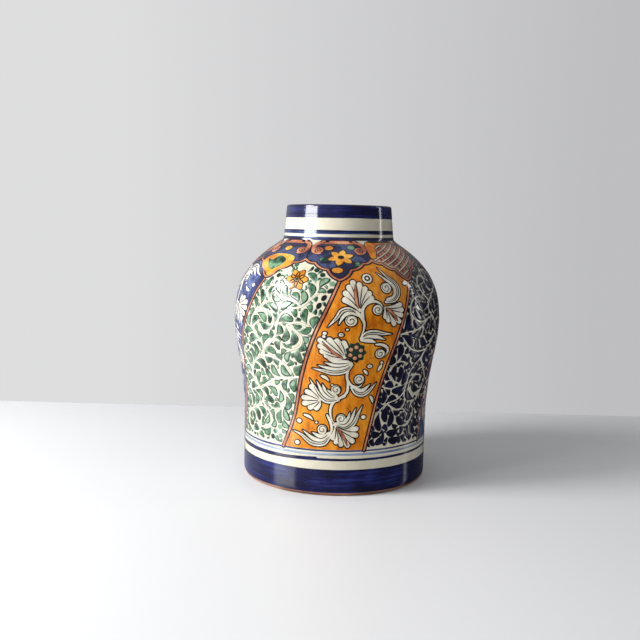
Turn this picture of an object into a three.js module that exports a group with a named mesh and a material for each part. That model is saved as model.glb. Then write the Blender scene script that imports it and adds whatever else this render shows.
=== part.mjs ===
// A tin-glazed earthenware vase of the shouldered jar shape: a straight lower wall, a full belly high up,
// a round shoulder and a short neck. It is thrown in sections on the wheel and luted together with slip,
// so each thrown section is a piece of its own: the foot ring, the floor, the lower wall, the shoulder
// wall and the neck collar. Millimetres, +Z up, origin on the table under the middle of the foot.
import * as THREE from "three";

// Driving dimensions.
const HEIGHT = 285;
const WALL_RADIUS = 97.7; // the straight lower wall, outside
const BELLY_RADIUS = 109; // the widest place, outside
const BELLY_HEIGHT = 164.5;
const STRAIGHT_TOP = 62; // where the straight lower wall begins to swell
const NECK_BASE = 247.5; // where the shoulder meets the neck
const NECK_BASE_RADIUS = 60.5;
const NECK_RADIUS = 57.7; // the neck just above its fillet
const NECK_FILLET_TOP = 256;
const LIP_RADIUS = 55; // the neck just under the lip
const LIP_ROUND = 2.4; // rounding of the lip's two edges

// Wall thickness, square to the surface.
const LOWER_THICKNESS = 8;
const SHOULDER_THICKNESS = 7;
const NECK_THICKNESS = 6.5;

// The foot and the floor.
const FOOT_RING_HEIGHT = 4.5;
const FOOT_RING_WIDTH = 16;
const FOOT_INSET = 3.2; // how far the foot's bearing edge stands inside the wall
const FOOT_BEVEL = 1.5; // the inner edge of the foot ring
const FLOOR_THICKNESS = 9;
const FLOOR_CLEARANCE = 0.5; // between the floor's edge and the wall, filled with slip
const FLOOR_EDGE_ROUND = 1.5;

// Where the thrown sections are luted, and the slip that parts them.
const BELLY_SEAM = 122;
const NECK_SEAM = 246;
const SLIP = 0.3;

const SEGMENTS = 48; // facets round the vase
const ROUND_STEPS = 4; // rows on a small rounding

const point = (radius, height) => new THREE.Vector2(radius, height);

// The outline of the outside, from the foot's bearing edge to the lip.
function outlinePath() {
  const path = new THREE.Path();
  path.moveTo(WALL_RADIUS - FOOT_INSET, 0);
  path.quadraticCurveTo(WALL_RADIUS, 0, WALL_RADIUS, 2.5 * FOOT_INSET);
  path.lineTo(WALL_RADIUS, STRAIGHT_TOP);
  path.bezierCurveTo(WALL_RADIUS, 112, BELLY_RADIUS, 141, BELLY_RADIUS, BELLY_HEIGHT);
  path.bezierCurveTo(BELLY_RADIUS, 199, 100.8, 221.7, NECK_BASE_RADIUS, NECK_BASE);
  path.bezierCurveTo(58.6, 248.7, 58, 251.5, NECK_RADIUS, NECK_FILLET_TOP);
  path.lineTo(LIP_RADIUS, HEIGHT);
  return path;
}

const outline = outlinePath().curves.flatMap((curve) => curve.getPoints(80));

// The outside radius at a height, read off the outline.
function outerRadius(height) {
  const above = outline.findIndex((p) => p.y >= height && p.y > 0);
  const [low, high] = [outline[above - 1], outline[above]];
  const share = high.y > low.y ? (height - low.y) / (high.y - low.y) : 0;
  return low.x + share * (high.x - low.x);
}

// The inside radius at a height, for a wall of this thickness square to its surface.
function innerRadius(height, thickness) {
  const step = 0.5;
  const low = Math.max(height - step, 1);
  const high = Math.min(height + step, HEIGHT - 1);
  const slope = (outerRadius(high) - outerRadius(low)) / (high - low);
  return outerRadius(height) - thickness * Math.hypot(1, slope);
}

// Heights from low to high, each at most gap apart.
function heights(low, high, gap) {
  const count = Math.ceil((high - low) / gap);
  return Array.from({ length: count + 1 }, (_, i) => low + ((high - low) * i) / count);
}

// A solid of revolution about +Z from a closed outline that runs up the outside and down the inside.
function turned(name, profile, material) {
  const geometry = new THREE.LatheGeometry([...profile, profile[0].clone()], SEGMENTS);
  geometry.rotateX(Math.PI / 2);
  const mesh = new THREE.Mesh(geometry, material);
  mesh.name = name;
  return mesh;
}

// A ring of thrown wall between two seams, with a row at each of the given heights.
function wallProfile(rows, thickness) {
  const outside = rows.map((z) => point(outerRadius(z), z));
  const inside = rows.map((z) => point(innerRadius(z, thickness), z)).reverse();
  return [...outside, ...inside];
}

// Points on a quarter round from one point to another, bulging towards the corner between them.
function quarterRound(from, corner, to) {
  return new THREE.QuadraticBezierCurve(from, corner, to).getPoints(ROUND_STEPS);
}

const bareClay = new THREE.MeshStandardMaterial({ color: 0xb9785a, roughness: 0.9, metalness: 0 });
const glazedWall = new THREE.MeshStandardMaterial({ color: 0xe6dfc4, roughness: 0.15, metalness: 0 });
const glazedShoulder = new THREE.MeshStandardMaterial({ color: 0xdfa040, roughness: 0.15, metalness: 0 });
const glazedNeck = new THREE.MeshStandardMaterial({ color: 0x1b1f63, roughness: 0.12, metalness: 0 });

// The unglazed ring that the vase stands on.
function footRing() {
  const inner = WALL_RADIUS - FOOT_INSET - FOOT_RING_WIDTH;
  const top = FOOT_RING_HEIGHT;
  const outside = [0, 1, 2.5, top].map((z) => point(outerRadius(z), z));
  const inside = [point(inner, top), point(inner, FOOT_BEVEL), point(inner + FOOT_BEVEL, 0)];
  return turned("foot_ring", [...outside, ...inside], bareClay);
}

// The slab that closes the bottom, set inside the lower wall.
function floorSlab() {
  const low = FOOT_RING_HEIGHT + SLIP;
  const high = low + FLOOR_THICKNESS;
  const edge = innerRadius(STRAIGHT_TOP, LOWER_THICKNESS) - FLOOR_CLEARANCE;
  const rounded = quarterRound(
    point(edge, high - FLOOR_EDGE_ROUND),
    point(edge, high),
    point(edge - FLOOR_EDGE_ROUND, high),
  );
  const profile = [point(0, low), point(edge, low), ...rounded, point(0, high)];
  const geometry = new THREE.LatheGeometry(profile, SEGMENTS);
  geometry.rotateX(Math.PI / 2);
  const mesh = new THREE.Mesh(geometry, bareClay);
  mesh.name = "floor_slab";
  return mesh;
}

// The first thrown section: from the foot ring up to the belly seam.
function lowerWall() {
  const low = FOOT_RING_HEIGHT + SLIP;
  const rows = [low, 2.5 * FOOT_INSET, ...heights(STRAIGHT_TOP, BELLY_SEAM - SLIP / 2, 8)];
  return turned("lower_wall", wallProfile(rows, LOWER_THICKNESS), glazedWall);
}

// The second section: the belly and the shoulder, closed in as far as the neck.
function shoulderWall() {
  const belly = heights(BELLY_SEAM + SLIP / 2, 196, 8);
  const shoulder = heights(196, NECK_SEAM - SLIP / 2, 4.5).slice(1);
  return turned("shoulder_wall", wallProfile([...belly, ...shoulder], SHOULDER_THICKNESS), glazedShoulder);
}

// The third section: the neck, with a rounded lip that has a flat land on top.
function neckCollar() {
  const low = NECK_SEAM + SLIP / 2;
  const rows = [low, ...heights(NECK_BASE, NECK_FILLET_TOP, 3), 265, 274];
  const outer = rows.map((z) => point(outerRadius(z), z));
  const inner = rows.map((z) => point(innerRadius(z, NECK_THICKNESS), z)).reverse();
  const rim = outerRadius(HEIGHT - LIP_ROUND);
  const mouth = rim - NECK_THICKNESS;
  const outerLip = quarterRound(
    point(rim, HEIGHT - LIP_ROUND),
    point(rim, HEIGHT),
    point(rim - LIP_ROUND, HEIGHT),
  );
  const innerLip = quarterRound(
    point(mouth + LIP_ROUND, HEIGHT),
    point(mouth, HEIGHT),
    point(mouth, HEIGHT - LIP_ROUND),
  );
  return turned("neck_collar", [...outer, ...outerLip, ...innerLip, ...inner], glazedNeck);
}

const vase = new THREE.Group();
vase.add(footRing(), floorSlab(), lowerWall(), shoulderWall(), neckCollar());

export default vase;
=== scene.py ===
"""A hand-painted tin-glazed vase: thrown walls, and its painting laid on them as raised glaze colours.

The thrown sections are turned from one outline. The painting is drawn flat, as a painter's pounced sheet is,
in millimetres along the wall, and a node tree lays each colour on the wall as its own thin relief.
Flat sheets measure x along the wall at SHEET_RADIUS and y up the outline from the foot.
"""

import logging
import math
import random
from dataclasses import astuple, dataclass, field
from enum import Enum
from typing import ClassVar

import bpy
import numpy as np
from mathutils import Matrix, Vector
from mathutils.geometry import delaunay_2d_cdt

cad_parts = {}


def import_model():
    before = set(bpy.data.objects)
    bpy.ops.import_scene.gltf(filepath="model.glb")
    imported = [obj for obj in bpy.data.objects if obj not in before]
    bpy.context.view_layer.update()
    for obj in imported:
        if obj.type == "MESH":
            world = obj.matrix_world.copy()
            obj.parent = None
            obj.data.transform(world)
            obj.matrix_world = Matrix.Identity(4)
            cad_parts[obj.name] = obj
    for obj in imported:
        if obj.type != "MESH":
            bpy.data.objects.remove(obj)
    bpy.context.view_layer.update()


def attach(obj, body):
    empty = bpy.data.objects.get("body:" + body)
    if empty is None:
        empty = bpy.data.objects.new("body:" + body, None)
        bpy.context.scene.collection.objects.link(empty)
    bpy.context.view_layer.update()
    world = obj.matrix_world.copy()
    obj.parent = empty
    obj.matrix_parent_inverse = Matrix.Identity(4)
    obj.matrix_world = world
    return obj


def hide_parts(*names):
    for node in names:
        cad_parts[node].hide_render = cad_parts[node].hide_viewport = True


logging.basicConfig(level=logging.INFO, format="%(message)s")
log = logging.getLogger("vase")

MM = 0.001
SHEET_RADIUS = 100.0  # mm; a flat sheet is drawn as if the wall had this radius
BODY = "root"
BURIED = -0.12  # mm; how deep the underside of a raised colour sits in the wall
FILL_GAP = 2.8  # mm; how far apart the inner points of a wide patch are

Points = np.ndarray  # an (n, 2) array of sheet places in millimetres


def placed(name: str, data: bpy.types.ID) -> bpy.types.Object:
    """Puts an object that holds some data in the scene.

    Args:
        name: the object's name.
        data: its mesh, curve, light or camera.

    Returns:
        The object.
    """
    made = bpy.data.objects.new(name, data)
    bpy.context.scene.collection.objects.link(made)
    return made


# ---------------------------------------------------------------------------------------------------------
# Plain drawing on the flat sheet


def at(angle: float, height: float) -> np.ndarray:
    """The sheet place of an angle round the vase, in degrees, and a length up the outline, in mm."""
    return np.array([math.radians(angle) * SHEET_RADIUS, height])


def places(*pairs: tuple[float, float]) -> Points:
    """Sheet places of several (angle, length) pairs."""
    return np.array([at(angle, height) for angle, height in pairs])


def lengths(path: Points) -> np.ndarray:
    """The length along a path at each of its points.

    Args:
        path: the points of the path.

    Returns:
        The length up to each point.
    """
    steps = np.hypot(*np.diff(path, axis=0).T)
    return np.concatenate([[0.0], np.cumsum(steps)])


def spaced(path: Points, gap: float) -> Points:
    """The same path with points no more than a gap apart.

    Args:
        path: the points of the path.
        gap: the most that neighbouring points are apart, in mm.

    Returns:
        The evenly spaced points.
    """
    run = lengths(path)
    count = max(2, math.ceil(run[-1] / gap) + 1)
    marks = np.linspace(0.0, run[-1], count)
    return np.stack([np.interp(marks, run, path[:, 0]), np.interp(marks, run, path[:, 1])], axis=1)


def flowing(knots: Points, closed: bool = False, gap: float = 0.9) -> Points:
    """A smooth Catmull-Rom curve through knots.

    Args:
        knots: the places that the curve passes through.
        closed: whether the curve comes back to its start.
        gap: the most that neighbouring points are apart, in mm.

    Returns:
        The points of the curve; a closed one doesn't repeat its first point.
    """
    knots = np.asarray(knots, dtype=float)
    if len(knots) < 3:
        return spaced(knots, gap)
    if closed:
        ring = np.vstack([knots[-1:], knots, knots[:2]])
    else:
        ring = np.vstack([2 * knots[0] - knots[1], knots, 2 * knots[-1] - knots[-2]])
    pieces = []
    for a, b, c, d in zip(ring[:-3], ring[1:-2], ring[2:-1], ring[3:]):
        count = max(2, math.ceil(1.3 * math.dist(b, c) / gap))
        t = np.linspace(0.0, 1.0, count, endpoint=False)[:, None]
        bend = (2 * a - 5 * b + 4 * c - d) * t**2 + (3 * b - a - 3 * c + d) * t**3
        pieces.append(0.5 * (2 * b + (c - a) * t + bend))
    if not closed:
        pieces.append(knots[-1:])
    return np.vstack(pieces)


def bowed(start: Points, end: Points, bow: float, gap: float = 0.9) -> Points:
    """A curve from start to end that bows to its left by a share of its length.

    Args:
        start: where it starts.
        end: where it ends.
        bow: how far it bows, as a share of its length.
        gap: the most that neighbouring points are apart, in mm.

    Returns:
        The points of the curve.
    """
    start, end = np.asarray(start, dtype=float), np.asarray(end, dtype=float)
    along = end - start
    aside = np.array([-along[1], along[0]])
    count = max(3, math.ceil(math.hypot(*along) * (1 + abs(bow)) / gap) + 1)
    t = np.linspace(0.0, 1.0, count)[:, None]
    middle = (start + end) / 2 + 2 * bow * aside
    return (1 - t) ** 2 * start + 2 * t * (1 - t) * middle + t**2 * end


def curl(centre: Points, radius: float, start: float, turns: float, inner: float = 0.2) -> Points:
    """A spiral that winds in.

    Args:
        centre: where it winds to.
        radius: its radius at the outside end.
        start: the angle of its outside end, in degrees from the sheet's x axis.
        turns: how many turns it makes, counterclockwise when positive.
        inner: its last radius as a share of its first.

    Returns:
        Its points, from the outside in.
    """
    count = max(8, math.ceil(abs(turns) * 26))
    t = np.linspace(0.0, 1.0, count)
    angle = math.radians(start) + t * turns * math.tau
    reach = radius * (1 - (1 - inner) * t)
    return np.asarray(centre) + np.stack([reach * np.cos(angle), reach * np.sin(angle)], axis=1)


def leftwards(path: Points, closed: bool = False) -> np.ndarray:
    """The unit normal to the left of a path at each of its points.

    Args:
        path: the points of the path.
        closed: whether the path comes back to its start.

    Returns:
        One unit vector for each point.
    """
    if closed:
        along = np.roll(path, -1, axis=0) - np.roll(path, 1, axis=0)
    else:
        along = np.gradient(path, axis=0)
    along /= np.maximum(np.hypot(along[:, 0], along[:, 1]), 1e-9)[:, None]
    return np.stack([-along[:, 1], along[:, 0]], axis=1)


def stroke(path: Points, half_widths: np.ndarray | float) -> Points:
    """The closed outline of a brush stroke along a path, with round ends.

    Args:
        path: the middle of the stroke.
        half_widths: half its width, at each point or all along.

    Returns:
        The outline, counterclockwise.
    """
    halves = np.broadcast_to(np.asarray(half_widths, dtype=float), (len(path),))[:, None]
    aside = leftwards(path)
    right = path - aside * halves
    left = path + aside * halves
    end_cap = round_cap(path[-1], aside[-1], halves[-1, 0], 1.0)
    start_cap = round_cap(path[0], aside[0], halves[0, 0], -1.0)
    return np.vstack([right, end_cap, left[::-1], start_cap])


def round_cap(tip: Points, aside: np.ndarray, half: float, sense: float) -> Points:
    """The inner points of a round stroke end, from one edge to the other; sense is -1 at the start.

    Args:
        tip: the end of the stroke.
        aside: the unit normal to its left.
        half: half its width.
        sense: 1 at its end and -1 at its start.

    Returns:
        The points; none on a very fine stroke.
    """
    if half < 0.12:
        return np.empty((0, 2))
    turn = np.radians(np.linspace(0, 180, max(3, math.ceil(half * 3) + 2)))[1:-1, None]
    along = np.array([aside[1], -aside[0]])
    return tip + sense * half * (along * np.sin(turn) - aside * np.cos(turn))


def disc(centre: Points, radius: float, squash: float = 1.0, tilt: float = 0.0) -> Points:
    """A round or oval outline; squash is its second radius as a share of the first, tilt in degrees.

    Args:
        centre: its middle.
        radius: its first radius.
        squash: its second radius as a share of the first.
        tilt: how far it is turned, in degrees.

    Returns:
        Its outline, counterclockwise.
    """
    count = max(10, math.ceil(radius * 6))
    angle = np.linspace(0, math.tau, count, endpoint=False)
    flat = np.stack([radius * np.cos(angle), squash * radius * np.sin(angle)], axis=1)
    return np.asarray(centre) + turned_by(flat, tilt)


def turned_by(shape: Points, degrees: float) -> Points:
    """A shape turned counterclockwise about the sheet's origin."""
    c, s = math.cos(math.radians(degrees)), math.sin(math.radians(degrees))
    return shape @ np.array([[c, s], [-s, c]])


def inside(outline: Points, spots: Points) -> np.ndarray:
    """Which spots lie inside a closed outline.

    Args:
        outline: the closed outline.
        spots: the places to test.

    Returns:
        True for each spot that lies inside.
    """
    a, b = outline, np.roll(outline, -1, axis=0)
    x, y = spots[:, 0, None], spots[:, 1, None]
    crosses = (a[:, 1] > y) != (b[:, 1] > y)
    rise = np.where(np.abs(b[:, 1] - a[:, 1]) < 1e-12, 1e-12, b[:, 1] - a[:, 1])
    edge = a[:, 0] + (y - a[:, 1]) * (b[:, 0] - a[:, 0]) / rise
    return (np.sum(crosses & (x < edge), axis=1) % 2) == 1


def grown(outline: Points, by: float) -> Points:
    """A closed outline moved outwards, or inwards when negative; sharp tips are kept short.

    Args:
        outline: the closed outline, counterclockwise.
        by: how far it is moved, in mm.

    Returns:
        The moved outline.
    """
    ahead = np.roll(outline, -1, axis=0) - outline
    behind = outline - np.roll(outline, 1, axis=0)
    out = []
    for edge in (behind, ahead):
        edge = edge / np.maximum(np.hypot(edge[:, 0], edge[:, 1]), 1e-9)[:, None]
        out.append(np.stack([edge[:, 1], -edge[:, 0]], axis=1))
    mean = out[0] + out[1]
    mean /= np.maximum(np.hypot(mean[:, 0], mean[:, 1]), 1e-6)[:, None]
    miter = np.maximum(np.sum(mean * out[1], axis=1), 0.45)
    return outline + mean * (by / miter)[:, None]


# ---------------------------------------------------------------------------------------------------------
# Raised colours: flat outlines made into thin closed reliefs


@dataclass
class Relief:
    """Many thin patches of one colour on a flat sheet, gathered into one mesh."""

    name: str
    spots: list = field(default_factory=list)
    leans: list = field(default_factory=list)
    faces: list = field(default_factory=list)
    count: int = 0

    def _add(self, places_mm: Points, height: np.ndarray | float, lean: np.ndarray) -> int:
        """Adds vertices with their heights and shading normals; gives the first one's number.

        Args:
            places_mm: where they are on the sheet.
            height: how high they stand off the wall.
            lean: their shading normals.

        Returns:
            The first one's number.
        """
        first = self.count
        tall = np.broadcast_to(np.asarray(height, dtype=float), (len(places_mm),))
        self.spots.append(np.column_stack([places_mm, tall]))
        self.leans.append(lean)
        self.count += len(places_mm)
        return first

    def patch(self, outline: Points, height: float, bevel: float = 0.22) -> None:
        """Adds a closed patch with a rounded edge.

        Args:
            outline: its edge on the sheet, as a simple closed line.
            height: how far its top stands off the wall, in mm.
            bevel: how far in from the edge the top begins.
        """
        x, y = outline.T
        if np.sum(x * np.roll(y, -1) - y * np.roll(x, -1)) < 0:
            outline = outline[::-1]
        rim = outline
        crest = grown(outline, -bevel)
        low, high = outline.min(axis=0), outline.max(axis=0)
        columns = np.arange(low[0], high[0], FILL_GAP)
        rows = np.arange(low[1], high[1], FILL_GAP)
        grid = np.stack(np.meshgrid(columns, rows), axis=-1).reshape(-1, 2)
        if len(grid):
            grid = grid[inside(grown(outline, -0.9), grid)]
        cloud = np.vstack([crest, grid]) if len(grid) else crest
        loop = list(range(len(crest)))
        verts, _, faces, origins, *_ = delaunay_2d_cdt([Vector(p) for p in cloud], [], [loop], 1, 1e-5, True)
        flat = np.array([tuple(v) for v in verts])
        centres = np.array([flat[list(face)].mean(axis=0) for face in faces])
        faces = [face for face, kept in zip(faces, inside(crest, centres)) if kept]
        sources = [src[0] if src else -1 for src in origins]
        up = np.tile([0.0, 0.0, 1.0], (len(flat), 1))
        top = self._add(flat, height, up)
        self.faces += [tuple(top + i for i in face) for face in faces]
        bottom_flat = flat.copy()
        place_of = {}
        for i, src in enumerate(sources):
            if 0 <= src < len(rim):
                bottom_flat[i] = rim[src]
                place_of[src] = i
        for i, origin in enumerate(origins):
            for src in origin:
                if src < len(rim):
                    place_of.setdefault(src, i)
        bottom = self._add(bottom_flat, BURIED, -up)
        self.faces += [tuple(bottom + i for i in reversed(face)) for face in faces]
        out = rim - crest
        out /= np.maximum(np.hypot(out[:, 0], out[:, 1]), 1e-6)[:, None]
        side = self._add(rim, height * 0.35, np.column_stack([out, np.full(len(rim), 0.25)]))
        for i in range(len(rim)):
            j = (i + 1) % len(rim)
            if i not in place_of or j not in place_of:
                continue
            a, b = place_of[i], place_of[j]
            if a != b:
                self.faces.append((side + i, side + j, top + b, top + a))
                self.faces.append((bottom + a, bottom + b, side + j, side + i))

    def ring(self, low: float, high: float, height: float, wobble: float, seed: int) -> None:
        """Adds a band that goes right round, with edges as a hand draws them on the wheel.

        Args:
            low: its lower edge, as a length up the outline.
            high: its upper edge.
            height: how far it stands off the wall.
            wobble: how far its edges stray.
            seed: which hand-drawn wobble it has.
        """
        columns = 288
        turn = np.arange(columns) / columns * math.tau
        draw = random.Random(seed)
        edges = []
        for level in (low, high):
            stray = np.zeros(columns)
            for wave in (1, 2, 3, 5, 8, 13):
                stray += draw.uniform(-1, 1) / wave**0.6 * np.sin(wave * turn + draw.uniform(0, math.tau))
            edges.append(level + wobble * stray * 0.6)
        bottom, top = edges
        inner = max(1, math.ceil((high - low) / 1.6))
        rows = [(bottom, BURIED, (0, -1, 0)), (bottom, height * 0.35, (0, -1, 0.3))]
        for i in range(inner + 1):
            share = i / inner
            level = (bottom + 0.25) * (1 - share) + (top - 0.25) * share
            rows.append((level, height, (0, 0, 1)))
        rows += [(top, height * 0.35, (0, 1, 0.3)), (top, BURIED, (0, 1, 0))]
        starts = []
        for level, tall, lean in rows:
            spots = np.stack([turn * SHEET_RADIUS, level], axis=1)
            starts.append(self._add(spots, tall, np.tile(np.array(lean, dtype=float), (columns, 1))))
        for i, here in enumerate(starts):
            there = starts[(i + 1) % len(starts)]
            for k in range(columns):
                n = (k + 1) % columns
                self.faces.append((here + k, here + n, there + n, there + k))

    def patches(self, outlines: list, height: float, bevel: float = 0.22) -> None:
        """Adds several patches of one height.

        Args:
            outlines: their edges on the sheet.
            height: how far their tops stand off the wall, in mm.
            bevel: how far in from the edge the tops begin.
        """
        for outline in outlines:
            self.patch(outline, height, bevel)

    def flat_mesh(self) -> bpy.types.Object:
        """The sheet as a Blender object in metres, with each point's shading normal stored as 'lean'."""
        mesh = bpy.data.meshes.new(self.name)
        spots = np.vstack(self.spots) * MM
        mesh.from_pydata(spots.tolist(), [], self.faces)
        lean = mesh.attributes.new("lean", "FLOAT_VECTOR", "POINT")
        lean.data.foreach_set("vector", np.vstack(self.leans).astype(np.float32).ravel())
        return placed(self.name, mesh)


# ---------------------------------------------------------------------------------------------------------
# The outline of the vase, and the node trees that turn a wall and lay a sheet on it


@dataclass(frozen=True)
class Outline:
    """The outside of the vase as a line of (radius, height) in millimetres, from the foot to the lip."""

    wall_radius: float = 97.7
    belly_radius: float = 109.0
    belly_height: float = 164.5
    straight_top: float = 62.0
    neck_base: float = 247.5
    neck_base_radius: float = 60.5
    neck_radius: float = 57.7
    fillet_top: float = 256.0
    lip_radius: float = 55.0
    height: float = 285.0
    foot_inset: float = 3.2
    foot_curve: float = 8.0

    def stretches(self) -> list:
        """The control points of each stretch of the outline, from the foot up."""
        foot = (self.wall_radius - self.foot_inset, 0)
        foot_top = (self.wall_radius, self.foot_curve)
        swell = (self.wall_radius, self.straight_top)
        belly = (self.belly_radius, self.belly_height)
        neck = (self.neck_base_radius, self.neck_base)
        fillet = (self.neck_radius, self.fillet_top)
        return [
            [foot, (self.wall_radius, 0), foot_top],
            [foot_top, swell],
            [swell, (self.wall_radius, 112), (self.belly_radius, 141), belly],
            [belly, (self.belly_radius, 199), (100.8, 221.7), neck],
            [neck, (58.6, 248.7), (58, 251.5), fillet],
            [fillet, (self.lip_radius, self.height)],
        ]

    def line(self, steps: int = 80) -> Points:
        """Points of the whole outside, as (radius, height).

        Args:
            steps: how many steps each stretch is cut into.

        Returns:
            The points, from the foot up.
        """
        pieces = []
        for knots in self.stretches():
            pieces.append(bezier(np.array(knots, dtype=float), steps)[:-1])
        pieces.append(np.array([[self.lip_radius, self.height]]))
        return np.vstack(pieces)


def bezier(knots: Points, steps: int) -> Points:
    """Points of a Bezier curve of any degree.

    Args:
        knots: its control points.
        steps: how many steps it is cut into.

    Returns:
        Its points, with both ends.
    """
    t = np.linspace(0.0, 1.0, steps + 1)[:, None]
    layer = [knots[i] * np.ones_like(t) for i in range(len(knots))]
    while len(layer) > 1:
        layer = [(1 - t) * a + t * b for a, b in zip(layer[:-1], layer[1:])]
    return layer[0]


def outline_object(name: str, line: Points, closed: bool = False) -> bpy.types.Object:
    """A curve object that holds a line in the XZ plane, in metres.

    Args:
        name: the object's name.
        line: the line, as (radius, height) in millimetres.
        closed: whether the curve comes back to its start.

    Returns:
        The curve object, in the scene.
    """
    curve = bpy.data.curves.new(name, "CURVE")
    curve.dimensions = "3D"
    spline = curve.splines.new("POLY")
    spline.points.add(len(line) - 1)
    for point, (radius, height) in zip(spline.points, line):
        point.co = (radius * MM, 0.0, height * MM, 1.0)
    spline.use_cyclic_u = closed
    return placed(name, curve)


class Tree:
    """A short way to write a node tree: adds nodes and joins their sockets."""

    def __init__(self, tree: bpy.types.NodeTree) -> None:
        """Takes the node tree to write in."""
        self.tree = tree

    @classmethod
    def group(cls, name: str, kind: str, inputs: dict, outputs: dict) -> "Tree":
        """Makes an empty node group.

        Args:
            name: the group's name.
            kind: the sort of tree, such as GeometryNodeTree.
            inputs: each input's socket kind and default, if it has one, by the input's name.
            outputs: each output's socket kind, by the output's name.

        Returns:
            The group, ready to be written in.
        """
        made = cls(bpy.data.node_groups.new(name, kind))
        sockets = made.tree.interface
        for title, (sort, *default) in inputs.items():
            socket = sockets.new_socket(title, in_out="INPUT", socket_type=f"NodeSocket{sort}")
            if default:
                socket.default_value = default[0]
        for title, sort in outputs.items():
            sockets.new_socket(title, in_out="OUTPUT", socket_type=f"NodeSocket{sort}")
        return made

    def link(self, source: bpy.types.NodeSocket, target: bpy.types.NodeSocket) -> None:
        """Joins an output to an input."""
        self.tree.links.new(source, target)

    def node(self, kind: str, settings: dict | None = None, **sockets: object) -> bpy.types.Node:
        """Adds a node.

        Args:
            kind: its class name.
            settings: its own properties.
            sockets: values or links for its inputs; i0 is its first, and a name uses _ for a space.

        Returns:
            The node.
        """
        node = self.tree.nodes.new(kind)
        for key, value in (settings or {}).items():
            setattr(node, key, value)
        for key, value in sockets.items():
            place = int(key[1:]) if key[0] == "i" and key[1:].isdigit() else key.replace("_", " ")
            socket = node.inputs[place]
            if isinstance(value, bpy.types.NodeSocket):
                self.link(value, socket)
            else:
                socket.default_value = value
        return node

    def first(self, kind: str, settings: dict | None = None, **sockets: object) -> bpy.types.NodeSocket:
        """Adds a node, as node() does, and gives its first output."""
        return self.node(kind, settings, **sockets).outputs[0]

    def math(self, operation: str, *values: object, clamp: bool = False) -> bpy.types.NodeSocket:
        """Adds a Math node.

        Args:
            operation: what it works out.
            values: up to three values or sockets.
            clamp: whether the result is kept between 0 and 1.

        Returns:
            The result.
        """
        inputs = {f"i{i}": value for i, value in enumerate(values)}
        return self.first("ShaderNodeMath", {"operation": operation, "use_clamp": clamp}, **inputs)

    def mixed(self, share: object, one: object, other: object) -> bpy.types.NodeSocket:
        """Adds a Mix node on two colours and gives its result, which is the other one at a share of 1."""
        return self.node("ShaderNodeMix", {"data_type": "RGBA"}, i0=share, i6=one, i7=other).outputs[2]

    def joined(self, x: object, y: object, z: object) -> bpy.types.NodeSocket:
        """Adds a Combine XYZ node and gives its vector."""
        return self.first("ShaderNodeCombineXYZ", X=x, Y=y, Z=z)

    def parted(self, vector: object) -> tuple:
        """Adds a Separate XYZ node and gives its three values."""
        return tuple(self.node("ShaderNodeSeparateXYZ", i0=vector).outputs)

    def ranged(self, value: object, start: float, end: float, low: float = 0.0, high: float = 1.0) -> object:
        """Adds a Map Range node.

        Args:
            value: the socket to map.
            start: where the result is low.
            end: where the result is high.
            low: the result at the start and beyond it.
            high: the result at the end and beyond it.

        Returns:
            The result's socket.
        """
        return self.first("ShaderNodeMapRange", Value=value, i1=start, i2=end, i3=low, i4=high)


def wall_place(tree: Tree, sample: bpy.types.Node, angle: object, out: object) -> tuple:
    """Nodes that turn a sampled outline point to an angle and stand it off the wall.

    Args:
        tree: the tree to add to.
        sample: a Sample Curve node on the outline.
        angle: the socket with the angle round the vase, in radians from the front.
        out: the distance off the wall.

    Returns:
        The sockets of the place, and of the directions around, up and out.
    """
    point = tree.parted(sample.outputs["Position"])
    flat, _, rise = tree.parted(sample.outputs["Tangent"])
    sine, cosine = tree.math("SINE", angle), tree.math("COSINE", angle)
    front = tree.math("MULTIPLY", cosine, -1.0)

    def turned(reach: object, height: object) -> bpy.types.NodeSocket:
        """The vector of a reach away from the axis and a height."""
        return tree.joined(tree.math("MULTIPLY", reach, sine), tree.math("MULTIPLY", reach, front), height)

    radius = tree.math("ADD", point[0], tree.math("MULTIPLY", rise, out))
    height = tree.math("SUBTRACT", point[2], tree.math("MULTIPLY", flat, out))
    outward = turned(rise, tree.math("MULTIPLY", flat, -1.0))
    return turned(radius, height), tree.joined(cosine, sine, 0.0), turned(flat, rise), outward


def sampled_outline(tree: Tree, start: bpy.types.Node, mode: str, along: object) -> bpy.types.Node:
    """A Sample Curve node on the tree's Outline input.

    Args:
        tree: the tree to add to.
        start: its Group Input node.
        mode: LENGTH or FACTOR, which also names the socket that says where to sample.
        along: the socket that says where.

    Returns:
        The node.
    """
    outline = tree.node("GeometryNodeObjectInfo", Object=start.outputs["Outline"])
    sample = tree.node("GeometryNodeSampleCurve", {"mode": mode})
    tree.link(outline.outputs["Geometry"], sample.inputs[0])
    tree.link(along, sample.inputs[mode.title()])
    return sample


def ended(tree: Tree, start: bpy.types.Node, shape: object) -> Tree:
    """Ends a tree with real geometry in its colour.

    Args:
        tree: the tree to end.
        start: its Group Input node, with a Colour.
        shape: the socket of the finished shape.

    Returns:
        The tree.
    """
    real = tree.first("GeometryNodeRealizeInstances", Geometry=shape)
    dyed = tree.first("GeometryNodeSetMaterial", Geometry=real, Material=start.outputs["Colour"])
    tree.node("NodeGroupOutput", Geometry=dyed)
    return tree


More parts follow.
